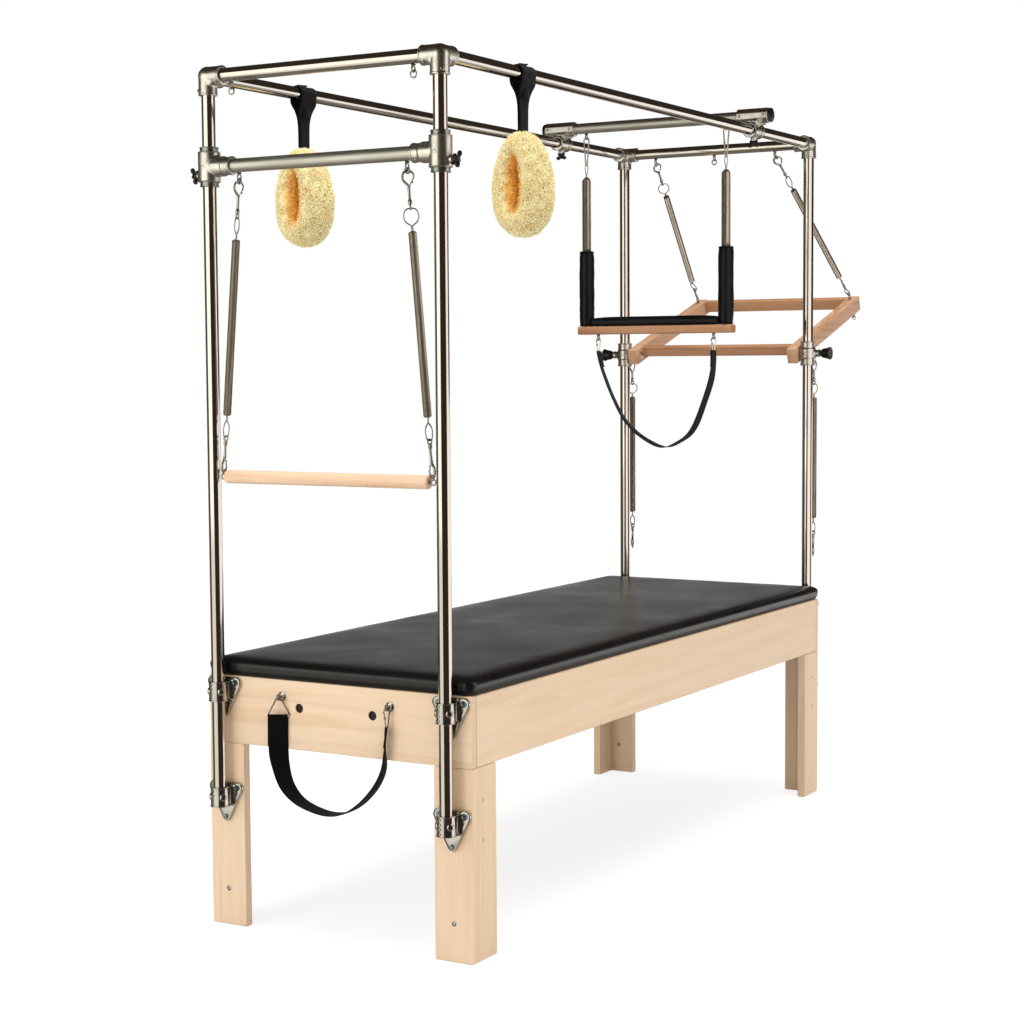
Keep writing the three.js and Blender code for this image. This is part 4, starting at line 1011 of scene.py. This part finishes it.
def makeBrackets():
    casting = bracketShape()
    bolts = bracketBolts()
    for name, side, signX, signY in corners:
        for use, top in (("upper", bed["railTop"] - 3), ("lower", 374)):
            place = (signX * canopy["postX"], signY * canopy["postY"], top)
            turn = 0 if signX < 0 else 180
            label = f"{use}_{name}_{side}"
            makePiece(f"bracket_{label}_casting", moved(spun(casting, turn), *place), bracketMetal,
                      "frame", ["bracket_" + label], sharp=45)
            makePiece(f"bracket_{label}_bolts", moved(spun(bolts, turn), *place), boltMetal, "frame")


makeCanopy()
makeBrackets()
print("canopy made")


# The slide bar: two tees on the head posts, each with a winged knob

slide = dict(teeRadius=28, teeTall=76, bushRadius=23, bushTall=98, branchReach=75, tubeStart=34,
             knobDrop=20, bossReach=36, eyeY=247, tilt=0.35)  # tilt: the knobs' turn, in radians


# A tee for the near post: origin on the post's axis, branch towards +Y
def teeShape():
    t = slide
    half = t["teeTall"] / 2
    barrel = lathe([(0, -half), (t["teeRadius"] - 2.4, -half), (t["teeRadius"], -half + 2.6),
                    (t["teeRadius"], half - 2.6), (t["teeRadius"] - 2.4, half), (0, half)], "Z", 44)
    body = merged(barrel, rod(25.2, 0, 50, "Y", 1.5), rod(22.5, 0, t["branchReach"], "Y", 1.2),
                  moved(rod(10, 0, -t["bossReach"], "Y", 1), 0, 0, -t["knobDrop"]))
    cast = cutFrom(poured(body, 1.9, 4), boreAlong("Z", bore["slide"]),
                   boreAlong("Y", bore["grip"], t["tubeStart"], 90))
    rims = [band(23.6, 20, t["branchReach"] - 6, t["branchReach"], "Y", 1.4)]
    rims += [band(t["teeRadius"] + 0.5, 24, s * (half - 4), s * (half - 0.6), "Z", 1.5) for s in (1, -1)]
    screws = [facing(setScrew(5.4), (s * 27.6, 0, -2), (s, 0, 0)) for s in (-1, 1)]
    screws += [facing(setScrew(4.6), (s * 17.2, 60, -14.2), (s, 0, -0.8)) for s in (-1, 1)]
    end = t["bushTall"] / 2
    bush = [band(t["bushRadius"], bore["liner"], s * (half - 1), s * end, "Z", 1.2) for s in (-1, 1)]
    lips = [band(t["bushRadius"] + 1.1, 18, s * (end - 3.4), s * (end - 0.4), "Z", 0.9) for s in (-1, 1)]
    return merged(cast, *rims, *screws), merged(*bush, *lips)


def makeSlideBar():
    x, y, z, t = -canopy["postX"], canopy["postY"], canopy["slideHeight"], slide
    tubeEnd = y - t["tubeStart"]
    makePiece("slideBar", moved(hollow(-tubeEnd, tubeEnd, "Y"), x, 0, z), satinAluminium, "slide_bar",
              ["slide_bar_tube"])
    eyes = onBothSides(merged(eyeBolt(), spareRing(6.2, 1.6)), x, t["eyeY"], z - eyeBelowTube)
    makePiece("slideBarEyes", eyes, wireMetal, "slide_bar")
    casting, bush = teeShape()
    knob = wingKnob()
    for side, s in sides:
        turn = 0 if s < 0 else 180
        makePiece("slideTee_" + side, moved(spun(casting, turn), x, s * y, z), castMetal, "slide_bar",
                  ["slide_tee_" + side], sharp=45)
        makePiece("slideBush_" + side, moved(spun(bush, turn), x, s * y, z), bushMetal, "slide_bar")
        made = spun(spun(knob, degrees(t["tilt"]) + 90), s * 90, "X")
        place = (x, s * (y + t["bossReach"] + 0.3), z - t["knobDrop"])
        makePiece("slideKnob_" + side, moved(made, *place), blackPlastic, "slide_knob_" + side,
                  ["slide_knob_" + side])


# The roll-down bar: a round maple bar with an eye in each end

rollDown = dict(height=1157, half=301, eyeOut=10, radius=16.5, springRadius=10.5, hook=100, loop=56,
                rings=dict(near=(17.5, (30, 30)), far=(10, (75, 95))))


def makeSpringPieces(name, parts, body, nodes, ringFinish=None, rides=True):
    kinds = (("", springMetal, nodes), ("_hooks", wireMetal, ()), ("_rings", ringFinish or wireMetal, ()))
    return [makePiece(name + end, shape, finish, body, stands, 50, rides)
            for (end, finish, stands), shape in zip(kinds, parts)]


def makeRollDown():
    r = rollDown
    x = -canopy["postX"]
    half, radius = r["half"], r["radius"]
    profile = [(0, -half), (radius - 4, -half), (radius - 1.6, -half + 1.0), (radius - 0.4, -half + 2.6),
               (radius, -half + 5.5)]
    profile += [(radius, -half + 5.5 + (2 * half - 11) * i / 12) for i in range(1, 12)]
    profile += [(a, -b) for a, b in reversed(profile[:5])]
    bar = lathe(profile, "Y", 48)
    makePiece("rollDownBar", moved(bar, x, 0, r["height"]), dowelWood, "roll_down", ["roll_down_bar"])
    eyes = []
    for _, s in sides:
        made = merged(eyeRing(), rod(2.3, 6.5, 12, "Z", 0.3, 14),
                      lathe([(0, 8.4), (5.2, 8.4), (5.2, 10), (0, 10)], "Z", 22))
        eyes.append(moved(spun(spun(made, 90), s * 90, "X"), x, s * (half + r["eyeOut"]), r["height"]))
    makePiece("rollDownEyes", merged(*eyes), wireMetal, "roll_down")
    for side, s in sides:
        upper = Vector((x, s * slide["eyeY"], canopy["slideHeight"] - eyeBelowTube))
        lower = Vector((x, s * (half + r["eyeOut"]), r["height"]))
        run = (lower - upper).normalized()
        start, stop = upper + down * eye["hang"], lower - run * eye["hang"]
        end = (r["hook"], r["loop"], *r["rings"][side])
        parts = springSet(r["springRadius"], (stop - start).length, end, end)
        makeSpringPieces("rollDownSpring_" + side, [hungAlong(p, start, run) for p in parts], "roll_down",
                         ["roll_down_spring_" + side])


makeSlideBar()
makeRollDown()
print("roll-down end made")


# The trapeze: cross tube on two saddles, sleeved springs, padded seat on a board

trapeze = dict(x=684, rise=44, half=396, saddleLong=106, clampLong=70, bossReach=33, eyeY=247,
               boardTop=1553, boardThick=26, boardHalf=272, boardWide=44, sleeveTop=1797,
               sleeveRadius=25, padTall=31, padWide=46, padSwell=5, padGap=0.6, springRadius=15,
               hook=88, loop=43, strapEyeY=205, eyeDrop=12)


# A saddle: origin where the long tube runs below the cross tube
def saddleShape():
    t = trapeze
    rise, long, clamp = t["rise"], t["saddleLong"] / 2, t["clampLong"] / 2
    flats = [(24.6 * cos(a), 24.6 * sin(a)) for a in (radians(22.5 + 45 * i) for i in range(8))]
    sleeve = moved(drawnUp(flats, t["saddleLong"] - 1, 2), 0, 0, -long + 0.5)
    sleeve = moved(spun(sleeve, 90, "X"), 0, 0, rise)
    web = [moved(roundedBlock(34, 30, rise, 3), 0, 0, rise / 2),
           moved(roundedBlock(10, 84, 26, 3), 0, 0, rise * 0.62)]
    ribs = [moved(spun(roundedBlock(8, 66, 7, 2), s * 26, "X"), 0, s * 16, rise * 0.46) for s in (-1, 1)]
    body = merged(sleeve, *web, *ribs, rod(10, 2, -t["bossReach"], "Z", 1),
                  rod(22.5, -clamp + 4, clamp - 4, "X", 2))
    cast = cutFrom(poured(body, 1.9, 3), boreAlong("X", bore["slide"]),
                   moved(boreAlong("Y", bore["grip"], -80, 80), 0, 0, rise))
    screws = [facing(setScrew(4.6), (-23, s * 40, rise), (-1, 0, 0)) for s in (-1, 1)]
    ring = [band(outer, inner, s * (clamp - far), s * (clamp - near), "X", ease)
            for outer, inner, far, near, ease in ((23.5, bore["liner"], 22, 0, 2), (24.6, 20, 6, 2, 1.2))
            for s in (-1, 1)]
    return merged(cast, *screws), merged(*ring)


stuffing = dict(grain=0.0045, pressure=4, frames=20, most=0.004)  # in metres


# The piece's mesh with its modifiers worked in
def settle(piece):
    bpy.context.view_layer.update()
    made = bpy.data.meshes.new_from_object(piece.evaluated_get(bpy.context.evaluated_depsgraph_get()))
    piece.modifiers.clear()
    finish = piece.data.materials[0]
    piece.data = made
    made.materials.clear()
    made.materials.append(finish)
    return made


# Fills a pad with air: remeshed finely, blown for a few frames, each point held to a small move
def stuffed(piece, keepFlat):
    scene = bpy.context.scene
    fill = piece.modifiers.new("fill", "REMESH")
    fill.mode, fill.voxel_size = "VOXEL", stuffing["grain"]
    fine = settle(piece)
    before = [v.co.copy() for v in fine.vertices]
    cloth = piece.modifiers.new("air", "CLOTH")
    cloth.settings.use_pressure = True
    cloth.settings.uniform_pressure_force = stuffing["pressure"]
    cloth.settings.effector_weights.gravity = 0
    cloth.settings.quality = 5
    cloth.point_cache.frame_start, cloth.point_cache.frame_end = 1, stuffing["frames"]
    for step in range(1, stuffing["frames"] + 1):
        scene.frame_set(step)
    blown = piece.evaluated_get(bpy.context.evaluated_depsgraph_get()).to_mesh()
    after = [v.co.copy() for v in blown.vertices]
    piece.modifiers.clear()
    scene.frame_set(1)
    for vertex, old, new in zip(fine.vertices, before, after):
        step = new - old
        if step.length > stuffing["most"]:
            step *= stuffing["most"] / step.length
        vertex.co = keepFlat(old + step)
    finer = piece.modifiers.new("finer", "SUBSURF")
    finer.levels = finer.render_levels = 1
    for face in settle(piece).polygons:
        face.use_smooth = True


# The seat between the sleeves: a tight bolster with a piped seam along each lower edge
def makeSeat():
    t = trapeze
    long = t["eyeY"] * 2 - 2 * t["sleeveRadius"] + 14
    wide, tall = t["padWide"] - t["padSwell"], t["padTall"] - t["padSwell"]
    block = moved(roundedBlock(wide, long, tall, 7), t["x"], 0, t["boardTop"] + t["padGap"] + tall / 2)
    piece = makePiece("trapezeSeat", block, blackVinyl, "trapeze", ["trapeze_pad"], rides=False)
    rest = (t["boardTop"] + t["padGap"]) / 1000
    stuffed(piece, lambda place: Vector((place.x, place.y, max(place.z, rest))))
    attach(piece, "trapeze")
    end = long / 2 - 6
    seam = [wire([(t["x"] + s * out, y, t["boardTop"] + 3.4) for out, y in
                  ((20.5, -end), (21.6, 0), (20.5, end))], 1.3, 8) for s in (-1, 1)]
    makePiece("trapezeSeatPiping", merged(*seam), blackVinyl, "trapeze")


# A padded sleeve round a spring: soft walls with a few gathers and a rolled top
def makeSleeves():
    t = trapeze
    top, foot = t["sleeveTop"], t["boardTop"] + 0.8
    tall = top - foot
    for side, s in sides:
        profile = []
        for i in range(37):
            share = i / 36
            swell = sin(min(share * 8, 8 - share * 8, 1) * pi / 2)
            profile.append((t["sleeveRadius"] - 3.2 + 2.6 * swell, share * tall))
        inner = [(16.4, tall - 1.5), (16.1, tall * 0.6), (16.1, tall * 0.3), (16.4, 1.5)]
        shape = lathe(profile + inner, "Z", 44, closed=True)
        points = []
        for p in shape[0]:
            flat = Vector((p.x, p.y, 0))
            if flat.length > 18:
                wave = noise.noise(Vector((p.x * 0.05, p.y * 0.05 + s, p.z * 0.028))) * 1.3
                fold = exp(-((p.z - 52) / 16) ** 2) * sin(p.z * 0.62 + p.x * 0.05) * 0.7
                flat *= 1 + (wave + fold) / flat.length
            points.append(Vector((flat.x, flat.y, p.z)))
        piece = makePiece("trapezeSleeve_" + side, moved((points, shape[1]), t["x"], s * t["eyeY"], foot),
                          blackVinyl, "trapeze", sharp=60)
        seam = [Vector((t["x"] + 24.4, s * t["eyeY"], foot + tall * (0.04 + 0.92 * i / 20)))
                for i in range(21)]
        hem = [moved(wire(circle(23.5, "XY", 40), 1.5, 8, True), t["x"], s * t["eyeY"], foot + z)
               for z in (4, tall - 4)]
        makePiece("trapezeSleeveSeams_" + side, merged(wire(seam, 0.9, 6), *hem), blackVinyl, "trapeze")


def makeTrapeze():
    t = trapeze
    x, z = t["x"], canopy["height"]
    makePiece("trapezeTube", moved(hollow(-t["half"], t["half"], "Y"), x, 0, z + t["rise"]), satinAluminium,
              "carriage", ["trapeze_cross_tube"])
    marks = [(0, 5), (19, 4.8), (21.4, 3.6), (22.2, 1.6), (22, 0.2), (14.2, 0.2), (14.2, -6), (0, -6)]
    caps = [moved(lathe([(radius, s * out) for radius, out in marks], "Y"), x, s * (t["half"] + 0.2),
                  z + t["rise"]) for _, s in sides]
    makePiece("trapezeTubeCaps", merged(*caps), blackPlastic, "carriage")
    eyes = onBothSides(eyeBolt(), x, t["eyeY"], z + t["rise"] - eyeBelowTube)
    makePiece("trapezeTubeEyes", eyes, wireMetal, "carriage")
    casting, clamp = saddleShape()
    knob = wingKnob(44)
    hangZ = z + t["rise"] - eyeBelowTube - eye["hang"]
    drop = hangZ - t["boardTop"] - 0.3
    for side, s in sides:
        y = s * canopy["postY"]
        makePiece("trapezeSaddle_" + side, moved(casting, x, y, z), castMetal, "carriage",
                  ["trapeze_saddle_" + side], sharp=45)
        makePiece("trapezeClamp_" + side, moved(clamp, x, y, z), bracketMetal, "carriage")
        made = spun(knob, 90 - degrees(slide["tilt"]))
        makePiece("trapezeKnob_" + side, moved(made, x, y, z - t["bossReach"] - 0.3), blackPlastic,
                  "carriage_knob_" + side, ["trapeze_knob_" + side])
        parts = sleevedSpring(t["springRadius"], drop, t["hook"], t["loop"], 5)
        makeSpringPieces("trapezeSpring_" + side, [moved(p, x, s * t["eyeY"], hangZ) for p in parts],
                         "trapeze", ["trapeze_spring_" + side])
    board = roundedBlock(t["boardWide"], t["boardHalf"] * 2, t["boardThick"], 4.5)
    makePiece("trapezeBoard", moved(board, x, 0, t["boardTop"] - t["boardThick"] / 2), tanAcross,
              "trapeze", ["trapeze_board"])
    under = t["boardTop"] - t["boardThick"] - t["eyeDrop"]
    makePiece("trapezeBoardEyes", onBothSides(eyeBolt(), x, t["strapEyeY"], under), wireMetal, "trapeze")
    clips = onBothSides(longLink(40, 8, 1.8), x, t["strapEyeY"], under - eye["hang"])
    makePiece("trapezeStrapClips", clips, wireMetal, "sling")


makeTrapeze()
makeSeat()
makeSleeves()
print("trapeze made")


# The push-through end: collars, pull knobs, the tilted bar and its springs

push = dict(height=1462, collarTall=80, bandTall=36, bandRadius=26, neckRadius=10, neckReach=42,
            armThick=36, armTall=52, armOutset=27, heel=30, reach=591, angle=17.8, railDeep=28,
            railTall=39, topEye=542, lowEye=565, eyeY=220, springRadius=10.5, hook=104, loop=60,
            lowHook=58, lowLoop=42, eyeReach=57, eyeDrop=14, legDrop=668, legHook=88, legLoop=48,
            rings=dict(near=(11, (20, 70)), far=(18, (50, 30))), legRings=dict(near=12, far=17))


def collarShape(outward):
    p = push
    half, mid = p["collarTall"] / 2, p["bandTall"] / 2
    inner = -outward
    body = merged(rod(23.8, -half, half, "Z", 1.4, 44), rod(p["bandRadius"], -mid, mid, "Z", 3, 44),
                  rod(p["neckRadius"] + 1.5, 0, outward * p["neckReach"], "Y", 1.4, 24),
                  rod(15, outward * 20, outward * 29, "Y", 3, 28))
    cast = cutFrom(poured(body, 1.8, 3), boreAlong("Z", bore["grip"]))
    rims = [band(25, 20, s * (half - 5), s * half, "Z", 1.5) for s in (-1, 1)]
    rims.append(band(p["neckRadius"] + 3, 6, outward * (p["neckReach"] - 5), outward * p["neckReach"], "Y"))
    arm = p["armOutset"]
    armEnd = arm + p["armThick"]
    bolt = [rod(6, inner * 17, inner * (armEnd + 3), "Y", 0.5, 24)]
    washers = (13, arm - 0.3, arm - 2.6, 0.7), (11, arm - 2.7, 21, 0.9), (12, armEnd + 0.3, armEnd + 1.6, 0.5)
    bolt += [band(radius, 5, inner * start, inner * stop, "Y", ease, 32)
             for radius, start, stop, ease in washers]
    bolt.append(lathe([(radius, inner * (armEnd + out)) for radius, out in
                       ((0, 1.5), (8.8, 1.5), (8.4, 3.4), (0, 4.6))], "Y", 6))
    screws = [facing(setScrew(5), (-25.6, 0, 0), (-1, 0, 0)), facing(setScrew(4.4), (23.4, 0, 29), (1, 0, 0))]
    ring = merged(moved(eyeRing(), p["eyeReach"]), rod(2.4, 17, p["eyeReach"] - 6.4, "X", 0.3, 14),
                  lathe([(0, 25.5), (5.4, 25.5), (5.4, 29), (0, 29)], "X", 6))
    return merged(cast, *rims, *screws), merged(*bolt, moved(ring, 0, 0, -p["eyeDrop"]))


def pullKnob(outward):
    marks = [(0, 42.6), (8.6, 42.6), (9.6, 43.6), (10.2, 47), (13.4, 51), (15.6, 56), (16.6, 62),
             (17.2, 68), (19.6, 74), (20.9, 77.4), (21, 79.2), (20.2, 80.4), (17.5, 80.3), (16.8, 79.6),
             (0, 79.2)]
    knob = lathe([(r, outward * h) for r, h in marks], "Y", 48)
    return merged(knob, rod(4, outward * 17.8, outward * 44, "Y", 0.6, 20))


def makePushBar():
    p = push
    x, y, z = canopy["postX"], canopy["postY"], p["height"]
    tilt = Matrix.Rotation(-radians(p["angle"]), 3, "Y")
    armY = y - p["armOutset"] - p["armThick"] / 2
    innerY = y - p["armOutset"] - p["armThick"]

    def tilted(shape):
        return moved(turned(shape, tilt), x, 0, z)

    arms = [moved(roundedBlock(p["reach"] + p["heel"], p["armThick"], p["armTall"], 4),
                  (p["reach"] - p["heel"]) / 2, s * armY, 0) for _, s in sides]
    makePiece("pushArms", tilted(merged(*arms)), tanArmsPaintedGlare, "push_bar", ["push_bar_frame"])
    rail = moved(roundedBlock(p["railDeep"], innerY * 2 + 3, p["railTall"], 3),
                 p["reach"] - p["railDeep"] / 2 - 2.5, 0, (p["armTall"] - p["railTall"]) / 2 - 2.5)
    makePiece("pushOuterRail", tilted(rail), tanAcross, "push_bar")
    finishNode("push_bar_pivot_rail", tanAcross)
    eyeUp = p["armTall"] / 2 + eye["drop"]
    topEye = moved(spun(eyeBolt(), 180, "X"), p["topEye"], 0, eyeUp)
    lowEye = moved(merged(eyeBolt(), spareRing(6, 1.6)), p["lowEye"], 0, -eyeUp)
    eyes = [moved(shape, 0, s * armY, 0) for _, s in sides for shape in (topEye, lowEye)]
    plug = lathe([(0, 1.2), (3.4, 1.0), (5, 0.3), (5, -2), (0, -2)], "Z", 22)
    screws = [facing(plug, (place, s * (armY + p["armThick"] / 2), 4), (0, s, 0)) for _, s in sides
              for place in (p["reach"] - 16.5, 31)]
    makePiece("pushEyes", tilted(merged(*eyes, *screws)), wireMetal, "push_bar")
    for side, s in sides:
        casting, hardware = collarShape(s)
        makePiece("pushCollar_" + side, moved(casting, x, s * y, z), castMetal, "frame",
                  ["push_collar_" + side], sharp=45)
        makePiece("pushCollarBolt_" + side, moved(hardware, x, s * y, z), wireMetal, "frame")
        makePiece("pullKnob_" + side, moved(pullKnob(s), x, s * y, z), blackPlastic, "plunger_" + side,
                  ["push_plunger_" + side])
        upper = Vector((x, s * p["eyeY"], canopy["height"] - eyeBelowTube))
        lower = tilt @ Vector((p["topEye"], 0, eyeUp)) + Vector((x, s * armY, z))
        run = (lower - upper).normalized()
        start, stop = upper + run * eye["hang"], lower - run * eye["hang"]
        ringHalf, turns = p["rings"][side]
        parts = springSet(p["springRadius"], (stop - start).length, (p["hook"], p["loop"], ringHalf, turns),
                          (p["lowHook"], p["lowLoop"], ringHalf - 2, turns))
        pieces = makeSpringPieces("pushSpring_" + side, [hungAlong(q, start, run) for q in parts],
                                  "frame", ["push_spring_" + side], rides=False)
        for piece in pieces:
            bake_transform(piece)
        legEye = Vector((x + p["eyeReach"], s * y, z - p["eyeDrop"] - eye["hang"]))
        end = (p["legHook"], p["legLoop"], p["legRings"][side], (75, 40))
        parts = springSet(p["springRadius"], p["legDrop"], end, end)
        makeSpringPieces("legSpring_" + side, [moved(q, *legEye) for q in parts], "leg_spring_" + side,
                         ["leg_spring_" + side], brassWire if side == "near" else None)


makePushBar()
print("push-through end made")


# Foot loops: a fleece ring with a slit, on a web strap choked round each long tube

loops = dict(nearX=-755, farX=-740, top=138, halfTall=133, halfDeep=80, halfWide=62, slitHalfTall=56,
             slitHalfDeep=3, eggShare=0.16, fluff=8, rows=132, columns=60, tufts=9500, tuftLength=10)


# A place on the fleece: its turn round the loop, its turn round the band, and how far it stands out
def fleecePlace(turn, around, out):
    f = loops
    rise = sin(turn)
    egg = 1 - f["eggShare"] * rise
    deep, tall = f["halfDeep"] - f["fluff"], f["halfTall"] - f["fluff"]
    outer = Vector((0, deep * egg * cos(turn), tall * rise))
    slit = Vector((0, f["slitHalfDeep"] * cos(turn), f["slitHalfTall"] * rise))
    middle, half = (outer + slit) / 2, (outer - slit) / 2
    wide = f["halfWide"] - f["fluff"]
    place = middle + half * cos(around) + Vector((wide * sin(around), 0, 0))
    outwards = (half.normalized() * cos(around) / max(half.length, 1)
                + Vector((sin(around) / wide, 0, 0))).normalized()
    return place + outwards * out, outwards


# How much of the slit's painted shade, in amber, the fleece takes at a turn round its band: nought outside,
# one in the slit
def slitShadeShare(around):
    return max(0.0, min(1.0, (-cos(around) - 0.15) / 0.5))


# Curled base and separate tufts, with each point's share of the slit's painted shade
def fleeceShape(seed):
    f = loops
    random.seed(seed)
    shift = Vector((seed * 7.3, 0, 0))
    rows, columns = f["rows"], f["columns"]
    points, slitShade = [], []
    for i in range(rows):
        for j in range(columns):
            turn, around = 2 * pi * i / rows, 2 * pi * j / columns
            base, _ = fleecePlace(turn, around, 0)
            curl = noise.noise((base + shift) * 0.045) * 5 + noise.noise((base + shift) * 0.11) * 3.4 \
                + noise.noise((base + shift) * 0.26) * 1.6
            points.append(fleecePlace(turn, around, curl)[0])
            slitShade.append(slitShadeShare(around))
    faces = ringWalls(rows, columns, True)
    for _ in range(f["tufts"]):
        turn, around = random.uniform(0, 2 * pi), random.gauss(0, 1.25)
        root, out = fleecePlace(turn, around, -1.5)
        lean = Vector((random.gauss(0, 0.45), random.gauss(0, 0.45), random.gauss(-0.12, 0.45)))
        aim = (out + lean).normalized()
        bend = Vector((random.gauss(0, 0.35), random.gauss(0, 0.35), random.gauss(0, 0.35)))
        long = f["tuftLength"] * random.uniform(0.6, 1.1) * (1 if cos(around) > -0.2 else 0.8)
        line = [root, root + aim * long * 0.45, root + (aim + bend * 0.5).normalized() * long * 0.8,
                root + (aim + bend).normalized() * long]
        thick = random.uniform(1.7, 2.9)
        tuft = wire(line, [thick, thick * 0.85, thick * 0.5, 0.25], 4)
        base = len(points)
        points += tuft[0]
        faces += [tuple(i + base for i in face) for face in tuft[1]]
        slitShade += [slitShadeShare(around)] * len(tuft[0])
    return (points, faces), slitShade


# A strap from the fleece's slit up round a long tube and back, its choke and its folded end
def loopRibbons(x, y, z, s):
    radius = canopy["tubeRadius"] + 2.4
    marks = [(2.2, -150, 42), (2.4, -110, 42), (2.6, -74, 46), (6, -48, 58), (15, -26, 70)]
    wrap = [(radius * cos(turn), radius * sin(turn), 70 + 4 * sin(turn * 3))
            for turn in (radians(step) for step in range(-20, 201, 22))]
    wrap = marks + wrap + [(-a, h, w) for a, h, w in reversed(marks)]
    main = ribbon([(Vector((x, y + a, z + h)), Vector((1, 0, 0)), w) for a, h, w in wrap], 3.2, 0.7, 4)
    choke = [(Vector((x + 21 * cos(a), y + 11 * sin(a), z - 46 + 4 * cos(a))), up, 24)
             for a in (2 * pi * i / 14 for i in range(14))]
    fold = [(Vector((x + 4, y + s * 3 + a, z + h)), Vector((1, 0.2, 0)), w) for a, h, w in
            ((16, -34, 40), (23, -14, 52), (24, 4, 54), (17, 18, 50), (2, 25, 46))]
    return main, ribbon(choke, 3.4, 0.8, 3, closed=True), ribbon(fold, 3.0, 0.6, 4)


def makeFootLoops():
    f = loops
    for side, s, x, seed in (("near", -1, f["nearX"], 3), ("far", 1, f["farX"], 8)):
        y, z = s * canopy["postY"], canopy["height"]
        shape, slitShade = fleeceShape(seed)
        body = "foot_loop_" + side
        piece = makePiece("fleeceLoop_" + side, moved(shape, x, y, z - f["top"] - f["halfTall"]),
                          creamFleece, body, [body], sharp=90)
        # Each point's share of the slit's painted shade, in amber
        share = piece.data.attributes.new("slitShadeShare", "FLOAT", "POINT")
        share.data.foreach_set("value", slitShade)

        main, knot, fold = loopRibbons(x, y, z, s)
        shape, flatMap = joinRibbons(main, knot, fold)
        strap = makeStrap("footLoopStrap_" + side, shape, flatMap, body)


makeFootLoops()
print("foot loops made")


# The floor keeps the shadow and shows white. Only the metal's reflections see the brown tent, its
# far cards (turn from the camera to its right and rise from level, in degrees) and its near panels

tent = dict(radius=90, height=1.2, colour=(58, 49, 42), step=9)
cards = [dict(name="nearFloor", turn=(98, 142), rise=(-32, -20), colour=(190, 184, 176), level=1),
         dict(name="farFloor", turn=(98, 142), rise=(-20, -1), colour=(252, 248, 244), level=1.5),
         dict(name="backWall", turn=(142, 190), rise=(-12, 7.6), colour=(206, 205, 204), level=1.3),
         dict(name="backWallTop", turn=(142, 190), rise=(7.6, 10.5), colour=(150, 149, 148), level=1),
         dict(name="backLeft", turn=(190, 262), rise=(-30, 8), colour=(104, 98, 88), level=1),
         dict(name="lowCloth", turn=(0, 360), rise=(-90, -32), colour=(134, 126, 116), level=1)]
panels = [dict(name="leftPanel", start=(-3.97, -0.34), stop=(-3.47, 2.94), low=0.8, high=3.1,
               colour=(255, 250, 238), level=1.9),
          dict(name="leftPanelFoot", start=(-3.97, -0.34), stop=(-3.47, 2.94), low=-1.4, high=0.8,
               colour=(250, 242, 230), level=1.3),
          dict(name="rightPanel", start=(-1.3, -1.48), stop=(1.02, -2.53), low=-0.9, high=2.9,
               colour=(255, 242, 236), level=1.6)]


def stagePiece(name, points, faces, finish):
    mesh = bpy.data.meshes.new(name)
    mesh.from_pydata(points, [], faces)
    mesh.materials.append(finish)
    plane = bpy.data.objects.new(name, mesh)
    bpy.context.collection.objects.link(plane)
    return plane


def bareFinish(name):
    finish = bpy.data.materials.new(name)
    finish.use_nodes = True
    finish.node_tree.nodes.clear()
    return finish, finish.node_tree


def makeFloor():
    finish, tree = bareFinish("paleFloor")
    # Away from the lamps, glow and lit cloth add up to white
    lit = (1 - studio["floorGlow"]) * studio["floorTone"] * studio["worldLevel"]
    cloth = addNode(tree, "BsdfDiffuse", {"Color": (studio["floorTone"],) * 3 + (1,)})
    glow = addNode(tree, "Emission", {"Strength": (1 - lit) / studio["floorGlow"]})
    share = combined(tree, "MULTIPLY", seenByCamera(tree), studio["floorGlow"])
    mix = addNode(tree, "MixShader", {0: share, 1: cloth.outputs[0], 2: glow.outputs[0]})
    addNode(tree, "OutputMaterial", {0: mix.outputs[0]})
    floor = stagePiece("floor", [(-30, -30, 0), (30, -30, 0), (30, 30, 0), (-30, 30, 0)], [(0, 1, 2, 3)],
                       finish)
    floor.visible_glossy = False


def glowPiece(name, points, faces, colour, level):
    finish, tree = bareFinish(name)
    finish.cycles.emission_sampling = "NONE"
    glow = addNode(tree, "Emission", {"Color": tone(*colour), "Strength": level})
    addNode(tree, "OutputMaterial", {0: glow.outputs[0]})
    piece = stagePiece(name, points, faces, finish)
    for light in ("camera", "diffuse", "shadow", "transmission", "volume_scatter"):
        setattr(piece, "visible_" + light, False)


def tentPiece(name, turn, rise, radius, colour, level):
    columns = ceil((turn[1] - turn[0]) / tent["step"])
    rows = ceil((rise[1] - rise[0]) / tent["step"])
    points = []
    for i in range(rows + 1):
        lift = radians(rise[0] + (rise[1] - rise[0]) * i / rows)
        for j in range(columns + 1):
            heading = radians(view["heading"] + 180 + turn[0] + (turn[1] - turn[0]) * j / columns)
            points.append((radius * cos(lift) * cos(heading),
                           radius * cos(lift) * sin(heading), tent["height"] + radius * sin(lift)))
    starts = [i * (columns + 1) + j for i in range(rows) for j in range(columns)]
    faces = [(k, k + 1, k + columns + 2, k + columns + 1) for k in starts]
    glowPiece(name, points, faces, colour, level)


def makeTent():
    tentPiece("tent", (0, 360), (-90, 90), tent["radius"], tent["colour"], 1)
    for card in cards:
        tentPiece(card["name"], card["turn"], card["rise"], tent["radius"] - 5, card["colour"],
                  card["level"])
    for panel in panels:
        points = [end + (height,) for height in (panel["low"], panel["high"])
                  for end in (panel["start"], panel["stop"])]
        glowPiece(panel["name"], points, [(0, 1, 3, 2)], panel["colour"], panel["level"])


makeFloor()
makeTent()
print("stage ready")
